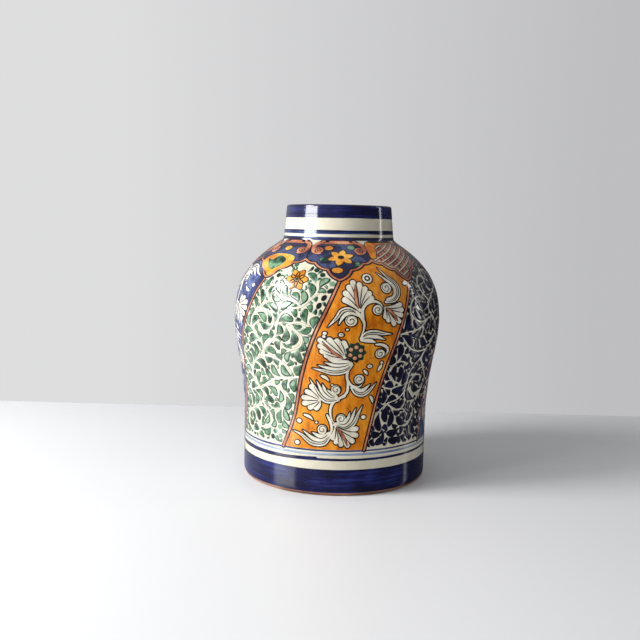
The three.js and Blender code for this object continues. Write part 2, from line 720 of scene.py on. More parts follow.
def laying_tree(instanced: bool) -> Tree:
    """The tree that lays a flat sheet on the wall.

    Args:
        instanced: whether it lays leaves scattered on the sheet's points, and not the sheet itself.

    Returns:
        The tree.
    """
    inputs = {
        "Geometry": ("Geometry",),
        "Outline": ("Object",),
        "Sheet Radius": ("Float", SHEET_RADIUS * MM),
        "Colour": ("Material",),
    }
    if instanced:
        inputs["Leaf"] = ("Object",)
    name = "lay_leaves_on_wall" if instanced else "lay_on_wall"
    tree = Tree.group(name, "GeometryNodeTree", inputs, {"Geometry": "Geometry"})
    start = tree.node("NodeGroupInput")
    shape = start.outputs["Geometry"]
    if instanced:
        shape = scattered_leaves(tree, start, shape)
    across, along, off = tree.parted(tree.first("GeometryNodeInputPosition"))
    sample = sampled_outline(tree, start, "LENGTH", along)
    angle = tree.math("DIVIDE", across, start.outputs["Sheet Radius"])
    place, *directions = wall_place(tree, sample, angle, off)
    if not instanced:
        shape = shaded(tree, shape, directions)
    return ended(tree, start, tree.first("GeometryNodeSetPosition", Geometry=shape, Position=place))


def shaded(tree: Tree, shape: object, directions: list) -> bpy.types.NodeSocket:
    """Nodes that turn each point's 'lean' to the wall's own directions and store it as 'shade'.

    Args:
        tree: the tree to add to.
        shape: the socket of the flat shape.
        directions: the sockets of the directions around, up and out.

    Returns:
        The socket of the shape with its 'shade'.
    """
    lean = tree.first("GeometryNodeInputNamedAttribute", {"data_type": "FLOAT_VECTOR"}, Name="lean")
    scaled = []
    for axis, share in zip(directions, tree.parted(lean)):
        scaled.append(tree.first("ShaderNodeVectorMath", {"operation": "SCALE"}, i0=axis, Scale=share))
    total = scaled[0]
    for more in scaled[1:]:
        total = tree.first("ShaderNodeVectorMath", {"operation": "ADD"}, i0=total, i1=more)
    kind = {"data_type": "FLOAT_VECTOR", "domain": "POINT"}
    return tree.first("GeometryNodeStoreNamedAttribute", kind, Geometry=shape, Name="shade", Value=total)


def scattered_leaves(tree: Tree, start: bpy.types.Node, shape: object) -> bpy.types.NodeSocket:
    """Nodes that put a leaf on every point, turned and sized by the point's own attributes.

    Args:
        tree: the tree to add to.
        start: its Group Input node, with a Leaf.
        shape: the socket of the points.

    Returns:
        The socket of the leaves.
    """
    leaf = tree.node("GeometryNodeObjectInfo", Object=start.outputs["Leaf"])
    turn, long, wide = (
        tree.first("GeometryNodeInputNamedAttribute", {"data_type": "FLOAT"}, Name=name)
        for name in ("turn", "long", "wide")
    )
    turned = tree.first("FunctionNodeEulerToRotation", i0=tree.joined(0.0, 0.0, turn))
    put = tree.first(
        "GeometryNodeInstanceOnPoints",
        Points=shape,
        Instance=leaf.outputs["Geometry"],
        Rotation=turned,
        Scale=tree.joined(long, wide, 1.0),
    )
    return tree.first("GeometryNodeRealizeInstances", Geometry=put)


def turning_tree() -> Tree:
    """The tree that turns a closed section round the axis, as a thrown wall."""
    inputs = {
        "Geometry": ("Geometry",),
        "Outline": ("Object",),
        "Facets Round": ("Int", 360),
        "Facets Along": ("Int", 200),
        "Colour": ("Material",),
    }
    tree = Tree.group("turn_on_wheel", "GeometryNodeTree", inputs, {"Geometry": "Geometry"})
    start = tree.node("NodeGroupInput")
    grid = tree.node("GeometryNodeMeshGrid", Size_X=1.0, Size_Y=1.0)
    for name, place in (("Facets Round", "Vertices X"), ("Facets Along", "Vertices Y")):
        tree.link(tree.math("ADD", start.outputs[name], 1.0), grid.inputs[place])
    across, along, _ = tree.parted(tree.first("GeometryNodeInputPosition"))
    sample = sampled_outline(tree, start, "FACTOR", tree.math("ADD", along, 0.5))
    place, *_ = wall_place(tree, sample, tree.math("MULTIPLY", across, math.tau), 0.0)
    moved = tree.first("GeometryNodeSetPosition", Geometry=grid.outputs["Mesh"], Position=place)
    return ended(tree, start, tree.first("GeometryNodeMergeByDistance", Geometry=moved, Distance=1e-6))


def grown_mesh(name: str, base: bpy.types.Object, tree: Tree, inputs: dict) -> bpy.types.Object:
    """Runs a node tree on an object and gives the result as a plain mesh piece.

    Args:
        name: the finished piece's name.
        base: the object that carries the tree; it is removed afterwards.
        tree: the tree to run.
        inputs: values for the tree's inputs, by socket name.

    Returns:
        The finished piece, at the origin and with no modifier.
    """
    modifier = base.modifiers.new("nodes", "NODES")
    modifier.node_group = tree.tree
    for item in tree.tree.interface.items_tree:
        if item.in_out == "INPUT" and item.name in inputs:
            modifier[item.identifier] = inputs[item.name]
    graph = bpy.context.evaluated_depsgraph_get()
    mesh = bpy.data.meshes.new_from_object(base.evaluated_get(graph), depsgraph=graph)
    old = base.data
    bpy.data.objects.remove(base)
    if old.users == 0 and isinstance(old, bpy.types.Mesh):
        bpy.data.meshes.remove(old)
    mesh.name = name
    piece = placed(name, mesh)
    mesh.shade_smooth()
    if "shade" in mesh.attributes:
        normals = np.empty(len(mesh.vertices) * 3, dtype=np.float32)
        mesh.attributes["shade"].data.foreach_get("vector", normals)
        normals = normals.reshape(-1, 3)
        normals /= np.maximum(np.linalg.norm(normals, axis=1), 1e-6)[:, None]
        mesh.normals_split_custom_set_from_vertices(normals.tolist())
        for left_over in ("shade", "lean"):
            if left_over in mesh.attributes:
                mesh.attributes.remove(mesh.attributes[left_over])
    return piece


# ---------------------------------------------------------------------------------------------------------
# Finishes


def tone(red: int, green: int, blue: int) -> tuple[float, float, float, float]:
    """A colour given as it looks, 0 to 255 a channel, made linear for a shader.

    Args:
        red: its red.
        green: its green.
        blue: its blue.

    Returns:
        The linear colour, with an alpha of 1.
    """
    linear = []
    for part in (red, green, blue):
        share = part / 255
        linear.append(share / 12.92 if share <= 0.04045 else ((share + 0.055) / 1.055) ** 2.4)
    return (*linear, 1.0)


class Streak(Enum):
    """Which way the brush went, as the scale of its marks along X, Y and Z, per metre."""

    ROUND = (70.0, 70.0, 70.0)
    UPRIGHT = (150.0, 150.0, 34.0)
    BANDED = (18.0, 18.0, 420.0)


@dataclass(frozen=True)
class SharedGroups:
    """The shader groups that every finish is made of. Scales are per metre and depths in metres."""

    marks_share: float = 0.62  # how much of the unevenness is brush marks; the rest is pooling
    pool_scale: float = 42.0
    contrast: float = 5.0
    ripple: float = 0.00022
    peel: float = 0.00001
    pinhole: float = 0.00006
    smoothest: float = 0.07
    roughest: float = 0.14

    def brushed(self) -> Tree:
        """Colour that a brush laid unevenly: a deep and a pale tone wandering through the body tone."""
        inputs = {name: ("Color",) for name in ("Pale", "Body", "Deep")}
        inputs |= {"Marks": ("Vector", Streak.ROUND.value), "Uneven": ("Float", 1.0)}
        outputs = {"Colour": "Color", "Thickness": "Float"}
        tree = Tree.group("brushed_colour", "ShaderNodeTree", inputs, outputs)
        start = tree.node("NodeGroupInput")
        spot = tree.node("ShaderNodeTexCoord").outputs["Object"]
        stretch = {"operation": "MULTIPLY"}
        scaled = tree.first("ShaderNodeVectorMath", stretch, i0=spot, i1=start.outputs["Marks"])
        marks = tree.first("ShaderNodeTexNoise", Vector=scaled, Scale=1.0, Detail=4.0, Roughness=0.6)
        scale = self.pool_scale
        pools = tree.first("ShaderNodeTexNoise", Vector=spot, Scale=scale, Detail=2.0, Roughness=0.5)
        marks = tree.math("MULTIPLY", marks, self.marks_share)
        both = tree.math("ADD", marks, tree.math("MULTIPLY", pools, 1 - self.marks_share))
        swing = tree.math("MULTIPLY", tree.math("SUBTRACT", both, 0.5), start.outputs["Uneven"])
        share = tree.math("MULTIPLY_ADD", swing, self.contrast, 0.5, clamp=True)
        lit = tree.mixed(tree.ranged(share, 0.55, 1.0), start.outputs["Body"], start.outputs["Pale"])
        last = tree.mixed(tree.ranged(share, 0.45, 0.0), lit, start.outputs["Deep"])
        tree.node("NodeGroupOutput", Colour=last, Thickness=share)
        return tree

    def glaze(self) -> Tree:
        """The surface of a fired glaze: a slow ripple, fine orange peel and scattered pinholes."""
        inputs = {"Ripple": ("Float", self.ripple), "Peel": ("Float", self.peel)}
        outputs = {"Normal": "Vector", "Roughness": "Float"}
        tree = Tree.group("glaze_surface", "ShaderNodeTree", inputs, outputs)
        start = tree.node("NodeGroupInput")
        spot = tree.node("ShaderNodeTexCoord").outputs["Object"]
        slow = tree.first("ShaderNodeTexNoise", Vector=spot, Scale=55.0, Detail=1.0, Roughness=0.4)
        fine = tree.first("ShaderNodeTexNoise", Vector=spot, Scale=900.0, Detail=2.0, Roughness=0.5)
        holes = tree.node("ShaderNodeTexVoronoi", Vector=spot, Scale=150.0)
        height = tree.math("MULTIPLY", slow, start.outputs["Ripple"])
        grain = tree.math("MULTIPLY", fine, start.outputs["Peel"])
        sunk = tree.math("MULTIPLY", tree.ranged(holes.outputs["Distance"], 0.03, 0.12), self.pinhole)
        total = tree.math("ADD", tree.math("ADD", height, grain), sunk)
        bump = tree.first("ShaderNodeBump", Strength=1.0, Distance=1.0, Height=total)
        rough = tree.ranged(slow, 0.3, 0.7, self.smoothest, self.roughest)
        tree.node("NodeGroupOutput", Normal=bump, Roughness=rough)
        return tree


def started(name: str) -> tuple:
    """A new material, with a tree to write in and its shader's input sockets.

    Args:
        name: the material's name.

    Returns:
        The material, the tree and the sockets.
    """
    made = bpy.data.materials.new(name)
    made.use_nodes = True
    return made, Tree(made.node_tree), made.node_tree.nodes["Principled BSDF"].inputs


@dataclass(frozen=True)
class GlazeColour:
    """A glaze colour, fired glossy, that the brush left uneven. Its tones are 0 to 255 a channel."""

    name: str
    slot: str
    pale: tuple
    body: tuple
    deep: tuple
    streak: Streak = Streak.ROUND
    uneven: float = 1.0
    washed: bool = False  # whether each stroke runs from a pale wash to a dark core
    refraction: float = 1.55
    coat: float = 0.25
    coat_roughness: float = 0.04

    def material(self, groups: dict) -> bpy.types.Material:
        """The finished material.

        Args:
            groups: the shared shader groups, by name.

        Returns:
            A material made of the shared groups and a glossy shader.
        """
        made, tree, shader = started(self.name)
        brushed = tree.node("ShaderNodeGroup", {"node_tree": groups["brushed"].tree}, Pale=tone(*self.pale),
                            Body=tone(*self.body), Deep=tone(*self.deep), Marks=self.streak.value,
                            Uneven=self.uneven)
        colour = brushed.outputs["Colour"]
        if self.washed:
            colour = self.wash(tree, colour, brushed.outputs["Thickness"])
        surface = tree.node("ShaderNodeGroup", {"node_tree": groups["glaze"].tree})
        tree.link(colour, shader["Base Color"])
        tree.link(surface.outputs["Roughness"], shader["Roughness"])
        tree.link(surface.outputs["Normal"], shader["Normal"])
        shader["IOR"].default_value = self.refraction
        shader["Coat Weight"].default_value = self.coat
        shader["Coat Roughness"].default_value = self.coat_roughness
        return made

    def wash(self, tree: Tree, colour: object, thickness: object) -> bpy.types.NodeSocket:
        """Nodes that leave a pale wash at a leaf's root, and darken its edge and a vein.

        Args:
            tree: the material's tree.
            colour: the socket of the brushed colour.
            thickness: the socket that says how thick the brush laid it.

        Returns:
            The socket of the washed colour.
        """
        leaf = tree.node("ShaderNodeAttribute", {"attribute_name": "leaf"})
        along, across, _ = tree.parted(leaf.outputs["Vector"])
        wander = tree.math("SUBTRACT", thickness, 0.5)
        along = tree.math("MULTIPLY_ADD", wander, 0.5, along)
        edge = tree.math("MULTIPLY_ADD", wander, 0.5, tree.math("ABSOLUTE", across))
        off_vein = tree.math("ABSOLUTE", tree.math("SUBTRACT", across, 0.2))
        vein = tree.math("MULTIPLY_ADD", wander, 0.5, off_vein)
        washed = tree.mixed(tree.ranged(along, 0.36, 0.0), colour, tone(*self.pale))
        veined = tree.mixed(tree.ranged(vein, 0.16, 0.02, 0.0, 0.7), washed, tone(*self.deep))
        return tree.mixed(tree.ranged(edge, 0.74, 0.98), veined, tone(*self.deep))


@dataclass(frozen=True)
class BareClay:
    """Unglazed earthenware: pinkish, matt and a little gritty."""

    name: str = "bare clay"
    slot: str = "bare_clay"
    grit_depth: float = 0.0002
    roughness: float = 0.86

    def material(self, groups: dict) -> bpy.types.Material:
        """The finished material, from the shared brushed colour and a grit of its own.

        Args:
            groups: the shared shader groups, by name.

        Returns:
            The material.
        """
        made, tree, shader = started(self.name)
        marks = tree.node("ShaderNodeGroup", {"node_tree": groups["brushed"].tree},
                          Pale=tone(178, 138, 114), Body=tone(146, 102, 80), Deep=tone(104, 68, 54),
                          Marks=Streak.BANDED.value, Uneven=0.9)
        spot = tree.node("ShaderNodeTexCoord").outputs["Object"]
        grit = tree.first("ShaderNodeTexNoise", Vector=spot, Scale=1400.0, Detail=3.0)
        height = tree.math("MULTIPLY", grit, self.grit_depth)
        bump = tree.first("ShaderNodeBump", Strength=0.7, Distance=1.0, Height=height)
        tree.link(marks.outputs["Colour"], shader["Base Color"])
        tree.link(bump, shader["Normal"])
        shader["Roughness"].default_value = self.roughness
        return made


class Palette:
    """Every finish on the vase, each made once."""

    CREAM = GlazeColour("cream glaze", "painted_glaze", (232, 227, 208), (224, 218, 196),
                        (212, 203, 176), uneven=0.5)
    INSIDE = GlazeColour("inside glaze", "painted_glaze", (236, 230, 212), (226, 218, 196),
                         (204, 192, 164), Streak.BANDED, 0.8)
    COBALT = GlazeColour("cobalt glaze", "cobalt_glaze", (36, 46, 112), (15, 17, 68),
                         (7, 7, 40), Streak.BANDED, 0.9)
    LINE_BLUE = GlazeColour("line blue", "cobalt_glaze", (62, 80, 130), (26, 36, 86),
                            (12, 15, 48), Streak.BANDED, 1.3)
    PALE_BLUE = GlazeColour("pale line blue", "blue_colour", (176, 190, 208), (142, 158, 186),
                            (104, 122, 160), Streak.BANDED, 1.1)
    ORANGE = GlazeColour("orange", "orange_colour", (238, 160, 44), (226, 136, 18),
                         (198, 104, 10), Streak.UPRIGHT)
    YELLOW = GlazeColour("flower yellow", "orange_colour", (244, 188, 84), (230, 156, 46),
                         (196, 116, 26), uneven=1.2)
    SMUDGE = GlazeColour("brown smudge", "orange_colour", (206, 118, 22), (184, 98, 18),
                         (140, 70, 16), Streak.UPRIGHT, 1.2)
    BLUE = GlazeColour("mid blue", "blue_colour", (102, 118, 158), (60, 75, 124),
                       (34, 42, 88), Streak.UPRIGHT, 1.4)
    VIOLET = GlazeColour("violet blue", "blue_colour", (68, 78, 114), (32, 38, 72),
                         (24, 25, 58), uneven=2.0)
    GREEN = GlazeColour("leaf green", "green_colour", (130, 164, 134), (72, 116, 84),
                        (18, 52, 36), uneven=1.7, washed=True)
    DARK_GREEN = GlazeColour("dark green", "green_colour", (34, 62, 48), (11, 29, 23),
                             (5, 12, 11), uneven=1.2)
    NAVY = GlazeColour("navy", "navy_colour", (27, 31, 76), (9, 10, 41), (4, 4, 19), washed=True)
    SALMON = GlazeColour("salmon", "salmon_colour", (220, 154, 118), (196, 120, 88),
                         (160, 86, 58), uneven=1.3)
    BRICK = GlazeColour("brick red", "salmon_colour", (198, 104, 78), (164, 66, 46), (120, 40, 30))
    BROWN = GlazeColour("brown outline", "brown_outline", (34, 20, 18), (13, 8, 9), (7, 5, 8))
    GREY_LINE = GlazeColour("grey line", "brown_outline", (176, 176, 156), (140, 142, 124),
                            (98, 102, 88))
    BLUE_VEIN = GlazeColour("blue vein", "navy_colour", (64, 76, 140), (34, 40, 100), (16, 18, 60))
    WHITE = GlazeColour("white motif", "white_motif", (244, 240, 226), (234, 228, 208),
                        (210, 202, 178), Streak.UPRIGHT, 0.8)
    SPOT_GREEN = GlazeColour("spot green", "green_colour", (120, 160, 128), (58, 104, 76),
                             (18, 52, 36), uneven=2.4)
    BASKET = GlazeColour("basket ground", "white_motif", (206, 176, 148), (178, 142, 116),
                         (140, 100, 78), uneven=1.4)
    CLAY = BareClay()

    def __init__(self) -> None:
        """Makes the shared shader groups."""
        shared = SharedGroups()
        self.groups = {"brushed": shared.brushed(), "glaze": shared.glaze()}
        self.made = {}

    def material(self, finish: GlazeColour | BareClay) -> bpy.types.Material:
        """The material of a finish, made on first use.

        Args:
            finish: the finish.

        Returns:
            Its material.
        """
        if finish.name not in self.made:
            self.made[finish.name] = finish.material(self.groups)
        return self.made[finish.name]


# ---------------------------------------------------------------------------------------------------------
# The workshop: what every sub-assembly shares


class Workshop:
    """Holds the outline, the trees and the palette, and finishes each piece."""

    def __init__(self) -> None:
        """Builds the shared trees, the outline object and the palette."""
        self.outline = Outline()
        self.palette = Palette()
        self.laying = laying_tree(False)
        self.leafing = laying_tree(True)
        self.turning = turning_tree()
        self.outside = outline_object("outside_line", self.outline.line())

    def finish(self, piece: bpy.types.Object, slot: str, *nodes: str) -> None:
        """Puts a piece on the body and hides the CAD nodes that it stands for.

        Args:
            piece: the piece.
            slot: its material slot; not used.
            nodes: the CAD nodes that it stands for, if any.
        """
        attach(piece, BODY)
        for node in nodes:
            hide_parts(node)
        log.info("%s: %d faces", piece.name, len(piece.data.polygons))

    def lay(self, relief: Relief, finish: GlazeColour) -> bpy.types.Object:
        """Lays a relief on the wall in a colour and gives the finished piece.

        Args:
            relief: the colour, drawn flat.
            finish: its finish.

        Returns:
            The finished piece.
        """
        inputs = {"Outline": self.outside, "Colour": self.palette.material(finish)}
        piece = grown_mesh(relief.name, relief.flat_mesh(), self.laying, inputs)
        self.finish(piece, finish.slot)
        return piece

    def close(self) -> None:
        """Removes the outline object when everything is built."""
        bpy.data.objects.remove(self.outside)


# ---------------------------------------------------------------------------------------------------------
# The thrown walls


@dataclass
class ThrownBody:
    """The fired body: foot ring, floor, lower wall, shoulder and neck, glazed inside and out."""

    lower_thickness: float = 8.0
    shoulder_thickness: float = 7.0
    neck_thickness: float = 6.5
    foot_ring_width: float = 16.0
    foot_ring_height: float = 4.5
    foot_bevel: float = 1.5
    floor_top: float = 13.8
    belly_seam: float = 122.0
    neck_seam: float = 246.0
    lip_round: float = 2.4
    facets_round: int = 288

    def inner(self, line: Points, thickness: float) -> Points:
        """The inside line of a stretch of wall, square to the outside, with its throwing rings.

        Args:
            line: the outside line, as (radius, height).
            thickness: how thick the wall is.

        Returns:
            The inside line, from the same end.
        """
        aside = leftwards(line)
        rings = 0.35 * np.sin(line[:, 1] * math.tau / 9.0) + 0.2 * np.sin(line[:, 1] * math.tau / 4.1)
        return line + aside * (thickness + rings)[:, None]

    def stretch(self, outline: Outline, low: float, high: float, gap: float = 1.5) -> Points:
        """The outside line between two heights.

        Args:
            outline: the vase's outline.
            low: where it starts.
            high: where it ends.
            gap: the most that its points are apart in height.

        Returns:
            Its points, as (radius, height).
        """
        line = outline.line()
        heights = np.linspace(low, high, max(2, math.ceil((high - low) / gap)))
        return np.stack([np.interp(heights, line[:, 1], line[:, 0]), heights], axis=1)

    def section(self, outline: Outline, low: float, high: float, thickness: float) -> Points:
        """The closed section of a wall between two seams.

        Args:
            outline: the vase's outline.
            low: its lower seam.
            high: its upper seam.
            thickness: how thick the wall is.

        Returns:
            The section, as (radius, height).
        """
        outside = self.stretch(outline, low, high)
        return np.vstack([outside, self.inner(outside, thickness)[::-1]])

    def foot_section(self, outline: Outline) -> Points:
        """The closed section of the bare foot ring.

        Args:
            outline: the vase's outline.

        Returns:
            The section, as (radius, height).
        """
        outside = self.stretch(outline, 0.0, self.foot_ring_height, 0.5)
        inner = outline.wall_radius - outline.foot_inset - self.foot_ring_width
        top = self.foot_ring_height
        inside = [[inner, top], [inner, self.foot_bevel], [inner + self.foot_bevel, 0.0]]
        return np.vstack([outside, inside])

    def floor_section(self, outline: Outline) -> Points:
        """The section of the floor slab, which starts and ends on the axis, with its throwing spiral.

        Args:
            outline: the vase's outline.

        Returns:
            The section, as (radius, height), from the axis out and back.
        """
        edge = outline.wall_radius - self.lower_thickness - 0.4
        radii = np.linspace(edge, 0.0, 60)
        rings = 0.35 * np.cos(radii * math.tau / 11.0) * np.minimum(radii / 20, 1.0)
        top = np.stack([radii, self.floor_top - 0.5 + rings], axis=1)
        low = self.foot_ring_height + 0.3
        return np.vstack([[[0.0, low], [edge, low]], top])

    def neck_section(self, outline: Outline) -> Points:
        """The closed section of the neck, with both edges of its lip rounded and a flat land between.

        Args:
            outline: the vase's outline.

        Returns:
            The section, as (radius, height).
        """
        outside = self.stretch(outline, self.neck_seam, outline.height - self.lip_round, 0.9)
        inside = self.inner(outside, self.neck_thickness)
        rim, mouth = outside[-1, 0], outside[-1, 0] - self.neck_thickness
        top, size = outline.height, self.lip_round
        outer = bezier(np.array([[rim, top - size], [rim, top], [rim - size, top]]), 6)
        inner = bezier(np.array([[mouth + size, top], [mouth, top], [mouth, top - size]]), 6)
        return np.vstack([outside, outer[1:], inner, inside[::-1][2:]])

    def turn(self, shop: Workshop, name: str, section: Points, finish: object, node: bool = True) -> None:
        """Turns a section on the wheel and finishes it.

        Args:
            shop: the workshop.
            name: the piece's name.
            section: its outline in (radius, height).
            finish: its finish.
            node: whether it stands for the CAD node of the same name.
        """
        on_axis = section[0, 0] == 0.0
        holder = outline_object(name + "_section", section, not on_axis)
        base = placed(name + "_base", bpy.data.meshes.new(name + "_base"))
        inputs = {
            "Outline": holder,
            "Facets Round": self.facets_round,
            "Facets Along": len(section) * 2,
            "Colour": shop.palette.material(finish),
        }
        piece = grown_mesh(name, base, shop.turning, inputs)
        bpy.data.objects.remove(holder)
        face_outwards(piece.data)
        piece.data.set_sharp_from_angle(angle=math.radians(50))
        shop.finish(piece, finish.slot, *([name] if node else []))

    def build(self, shop: Workshop) -> None:
        """Turns the five sections.

        Args:
            shop: the workshop.
        """
        outline, low = shop.outline, self.foot_ring_height + 0.02
        lower = self.section(outline, low, self.belly_seam, self.lower_thickness)
        shoulder = self.section(outline, self.belly_seam, self.neck_seam, self.shoulder_thickness)
        self.turn(shop, "foot_ring", self.foot_section(outline), Palette.CLAY)
        self.turn(shop, "floor_slab", self.floor_section(outline), Palette.INSIDE)
        self.turn(shop, "lower_wall", lower, Palette.CREAM)
        self.turn(shop, "shoulder_wall", shoulder, Palette.CREAM)
        self.turn(shop, "neck_collar", self.neck_section(outline), Palette.CREAM)


def face_outwards(mesh: bpy.types.Mesh) -> None:
    """Turns a closed mesh's faces outwards, by the sign of its volume.

    Args:
        mesh: the mesh.
    """
    corners = np.empty(len(mesh.vertices) * 3)
    mesh.vertices.foreach_get("co", corners)
    corners = corners.reshape(-1, 3)
    mesh.calc_loop_triangles()
    ids = np.empty(len(mesh.loop_triangles) * 3, dtype=np.int32)
    mesh.loop_triangles.foreach_get("vertices", ids)
    a, b, c = (corners[ids.reshape(-1, 3)[:, k]] for k in range(3))
    if np.sum(a * np.cross(b, c)) < 0:
        mesh.flip_normals()


# ---------------------------------------------------------------------------------------------------------
# The painting: bands, panels and their borders


@dataclass(frozen=True)
class Band:
    """A painted band that goes right round, with its edges as lengths up the outline."""

    low: float
    high: float
    height: float  # how far it stands off the wall
    wobble: float  # how far its edges stray
    seed: int


@dataclass
class Bands:
    """The plain bands and lines round the foot and the neck."""

    foot: tuple = (Band(4.6, 28.2, 0.12, 0.35, 1),)
    lines: tuple = (
        Band(37.2, 39.6, 0.12, 0.3, 2),
        Band(46.3, 48.0, 0.14, 0.25, 3),
        Band(271.0, 274.4, 0.12, 0.3, 4),
        Band(277.4, 281.4, 0.12, 0.35, 5),
    )
    pale_line: tuple = (Band(42.6, 44.7, 0.1, 0.25, 6),)
    rim_edge: tuple = (Band(293.4, 298.0, 0.14, 0.3, 7),)
    rim_turn: float = 297.0  # where the rim's band leaves the neck and turns over the lip
    rim_inside: float = 7.0  # how far down the inside it goes
    brush_start: tuple = ((-104, 37.2), (-70, 36.9), (-40, 37.3), (-24, 38.2), (-10.5, 39.0))

    def build(self, shop: Workshop) -> None:
        """Lays every band.

        Args:
            shop: the workshop.
        """
        self.paint(shop, "cobalt_foot_band", self.foot, Palette.COBALT)
        self.paint(shop, "blue_lines", self.lines, Palette.LINE_BLUE)
        self.paint(shop, "pale_blue_line", self.pale_line, Palette.PALE_BLUE)
        self.loaded_stroke(shop)
        self.paint(shop, "cobalt_rim_edge", self.rim_edge, Palette.COBALT)
        self.rim(shop)

    def paint(self, shop: Workshop, name: str, bands: tuple, finish: GlazeColour) -> None:
        """Lays the bands of one colour.

        Args:
            shop: the workshop.
            name: the piece's name.
            bands: the bands.
            finish: their finish.
        """
        relief = Relief(name)
        for band in bands:
            relief.ring(*astuple(band))
        shop.lay(relief, finish)

    def loaded_stroke(self, shop: Workshop) -> None:
        """The place where a freshly loaded brush began the lower line: dark, and round at its end.

        Args:
            shop: the workshop.
        """
        stroke_path = flowing(places(*self.brush_start), gap=2.0)
        halves = np.interp(lengths(stroke_path), [0, 60, 150, 164], [0.3, 1.5, 1.75, 1.9])
        relief = Relief("loaded_brush_stroke")
        relief.patch(stroke(stroke_path, halves), 0.2)
        shop.lay(relief, Palette.COBALT)

    def rim(self, shop: Workshop) -> None:
        """The rest of the cobalt band, turned over the rounded lip and down inside it.

        Args:
            shop: the workshop.
        """
        body, height = ThrownBody(), self.rim_edge[0].height
        neck = body.neck_section(shop.outline)
        start = shop.outline.height - (lengths(shop.outline.line())[-1] - self.rim_turn)
        path = neck[int(np.argmax(neck[:, 1] > start)):]
        mouth = shop.outline.lip_radius - body.neck_thickness + body.lip_round
        run = np.argmax((path[:, 1] < shop.outline.height - self.rim_inside) & (path[:, 0] < mouth))
        path = path[:int(run)]
        out = -leftwards(path)
        skin = np.vstack([path + out * height, (path - out * 0.1)[::-1]])
        body.turn(shop, "cobalt_rim_band", skin, Palette.COBALT, node=False)


@dataclass(frozen=True)
class Border:
    """The slanting edge between two panels, as places up the wall."""

    knots: tuple

    def line(self, turn: float = 0.0) -> Points:
        """Points of the edge, turned round the vase by some degrees."""
        marks = [(angle + turn, height) for angle, height in self.knots]
        return flowing(places(*marks), gap=2.4)


GREEN_ORANGE = Border(((-30.8, 47.5), (-23.6, 80), (-18.8, 120), (-11.6, 160), (-4.6, 190), (1.4, 217)))
ORANGE_NAVY = Border(((17.6, 47.5), (22, 80), (26.7, 120), (33, 160), (39.1, 190), (45, 217)))
BLUE_GREEN = Border(((-74.5, 47.5), (-70.5, 80), (-66.5, 120), (-60.2, 160), (-52.6, 190), (-46, 217)))
NAVY_BLUE = Border(((61.5, 47.5), (65.7, 80), (70, 120), (76.4, 160), (83.2, 190), (89.5, 217)))
BLUE_GREEN_NEXT = Border(tuple((angle + 180, height) for angle, height in BLUE_GREEN.knots))
HALF_TURNS = (0.0, 180.0)


@dataclass
class PanelBorders:
    """The salmon stripe with a dark line each side that parts every two panels."""

    half_dark: float = 2.35
    half_salmon: float = 0.98

    def build(self, shop: Workshop) -> None:
        """Lays the eight stripes.

        Args:
            shop: the workshop.
        """
        dark, salmon = Relief("panel_border_lines"), Relief("panel_border_stripes")
        for turn in HALF_TURNS:
            for border in (BLUE_GREEN, GREEN_ORANGE, ORANGE_NAVY, NAVY_BLUE):
                line = border.line(turn)
                dark.patch(stroke(line, self.half_dark), 0.2)
                salmon.patch(stroke(line, self.half_salmon), 0.28)
        shop.lay(dark, Palette.BROWN)
        shop.lay(salmon, Palette.SALMON)


def panel_outline(left: Border, right: Border, turn: float, low: float = 48.2) -> Points:
    """The outline of a panel between two borders, running up under the collar above it.

    Args:
        left: the border on its left.
        right: the border on its right.
        turn: how far round the vase it is, in degrees.
        low: its foot, as a length up the outline.

    Returns:
        Its closed outline, counterclockwise.
    """
    right_line, left_line = right.line(turn), left.line(turn)[::-1]
    start, end = left.knots[-1][0] + turn, right.knots[-1][0] + turn
    middle = (start + end) / 2
    roof = places((end - 3, 224), (end - 8, 232), (end - 15, 239), (middle, 243.5),
                  (start + 15, 239), (start + 8, 232), (start + 3, 224))
    bottom_edge = spaced(np.array([[left_line[-1][0], low], [right_line[0][0], low]]), 2.4)[1:-1]
    sides = np.vstack([right_line, spaced(roof, 2.4), left_line])
    sides[:, 1] = np.maximum(sides[:, 1], low)
    return np.vstack([bottom_edge, sides])


@dataclass
class Grounds:
    """The solid grounds of the orange and the mid-blue panels."""

    height: float = 0.1
    smudges: tuple = ((22, 203), (20.4, 178), (3, 115), (14, 172), (-4, 146), (14, 128), (6, 92), (-12, 70),
                      (31, 171), (14, 63), (20, 140))

    def build(self, shop: Workshop) -> None:
        """Lays the four grounds and the orange ones' brown smudges.

        Args:
            shop: the workshop.
        """
        orange, blue = Relief("orange_grounds"), Relief("blue_grounds")
        brown = Relief("orange_ground_smudges")
        for turn in HALF_TURNS:
            for angle, level in self.smudges:
                for path in self.scribble(angle + turn, level):
                    brown.patch(stroke(path, 0.34 * np.sin(np.linspace(0.4, 2.9, len(path)))), 0.14, 0.06)
            orange.patch(panel_outline(GREEN_ORANGE, ORANGE_NAVY, turn), self.height)
            blue.patch(panel_outline(NAVY_BLUE, BLUE_GREEN_NEXT, turn), self.height)
        shop.lay(orange, Palette.ORANGE)
        shop.lay(blue, Palette.BLUE)
        shop.lay(brown, Palette.SMUDGE)

    def scribble(self, angle: float, level: float) -> list:
        """A few quick brown marks round a place, as a worn brush leaves.

        Args:
            angle: the angle of the place, in degrees.
            level: its length up the outline.

        Returns:
            The path of each mark.
        """
        hand = random.Random(round(level * 10))
        middle = at(angle, level)
        paths = []
        for _ in range(3):
            start = middle + np.array([hand.uniform(-5, 5), hand.uniform(-4, 4)])
            end = start + np.array([hand.uniform(2, 6), hand.uniform(-4, 4)])
            paths.append(bowed(start, end, hand.uniform(-0.25, 0.25)))
        return paths


# ---------------------------------------------------------------------------------------------------------
# White leaf scrolls on the orange and the blue grounds


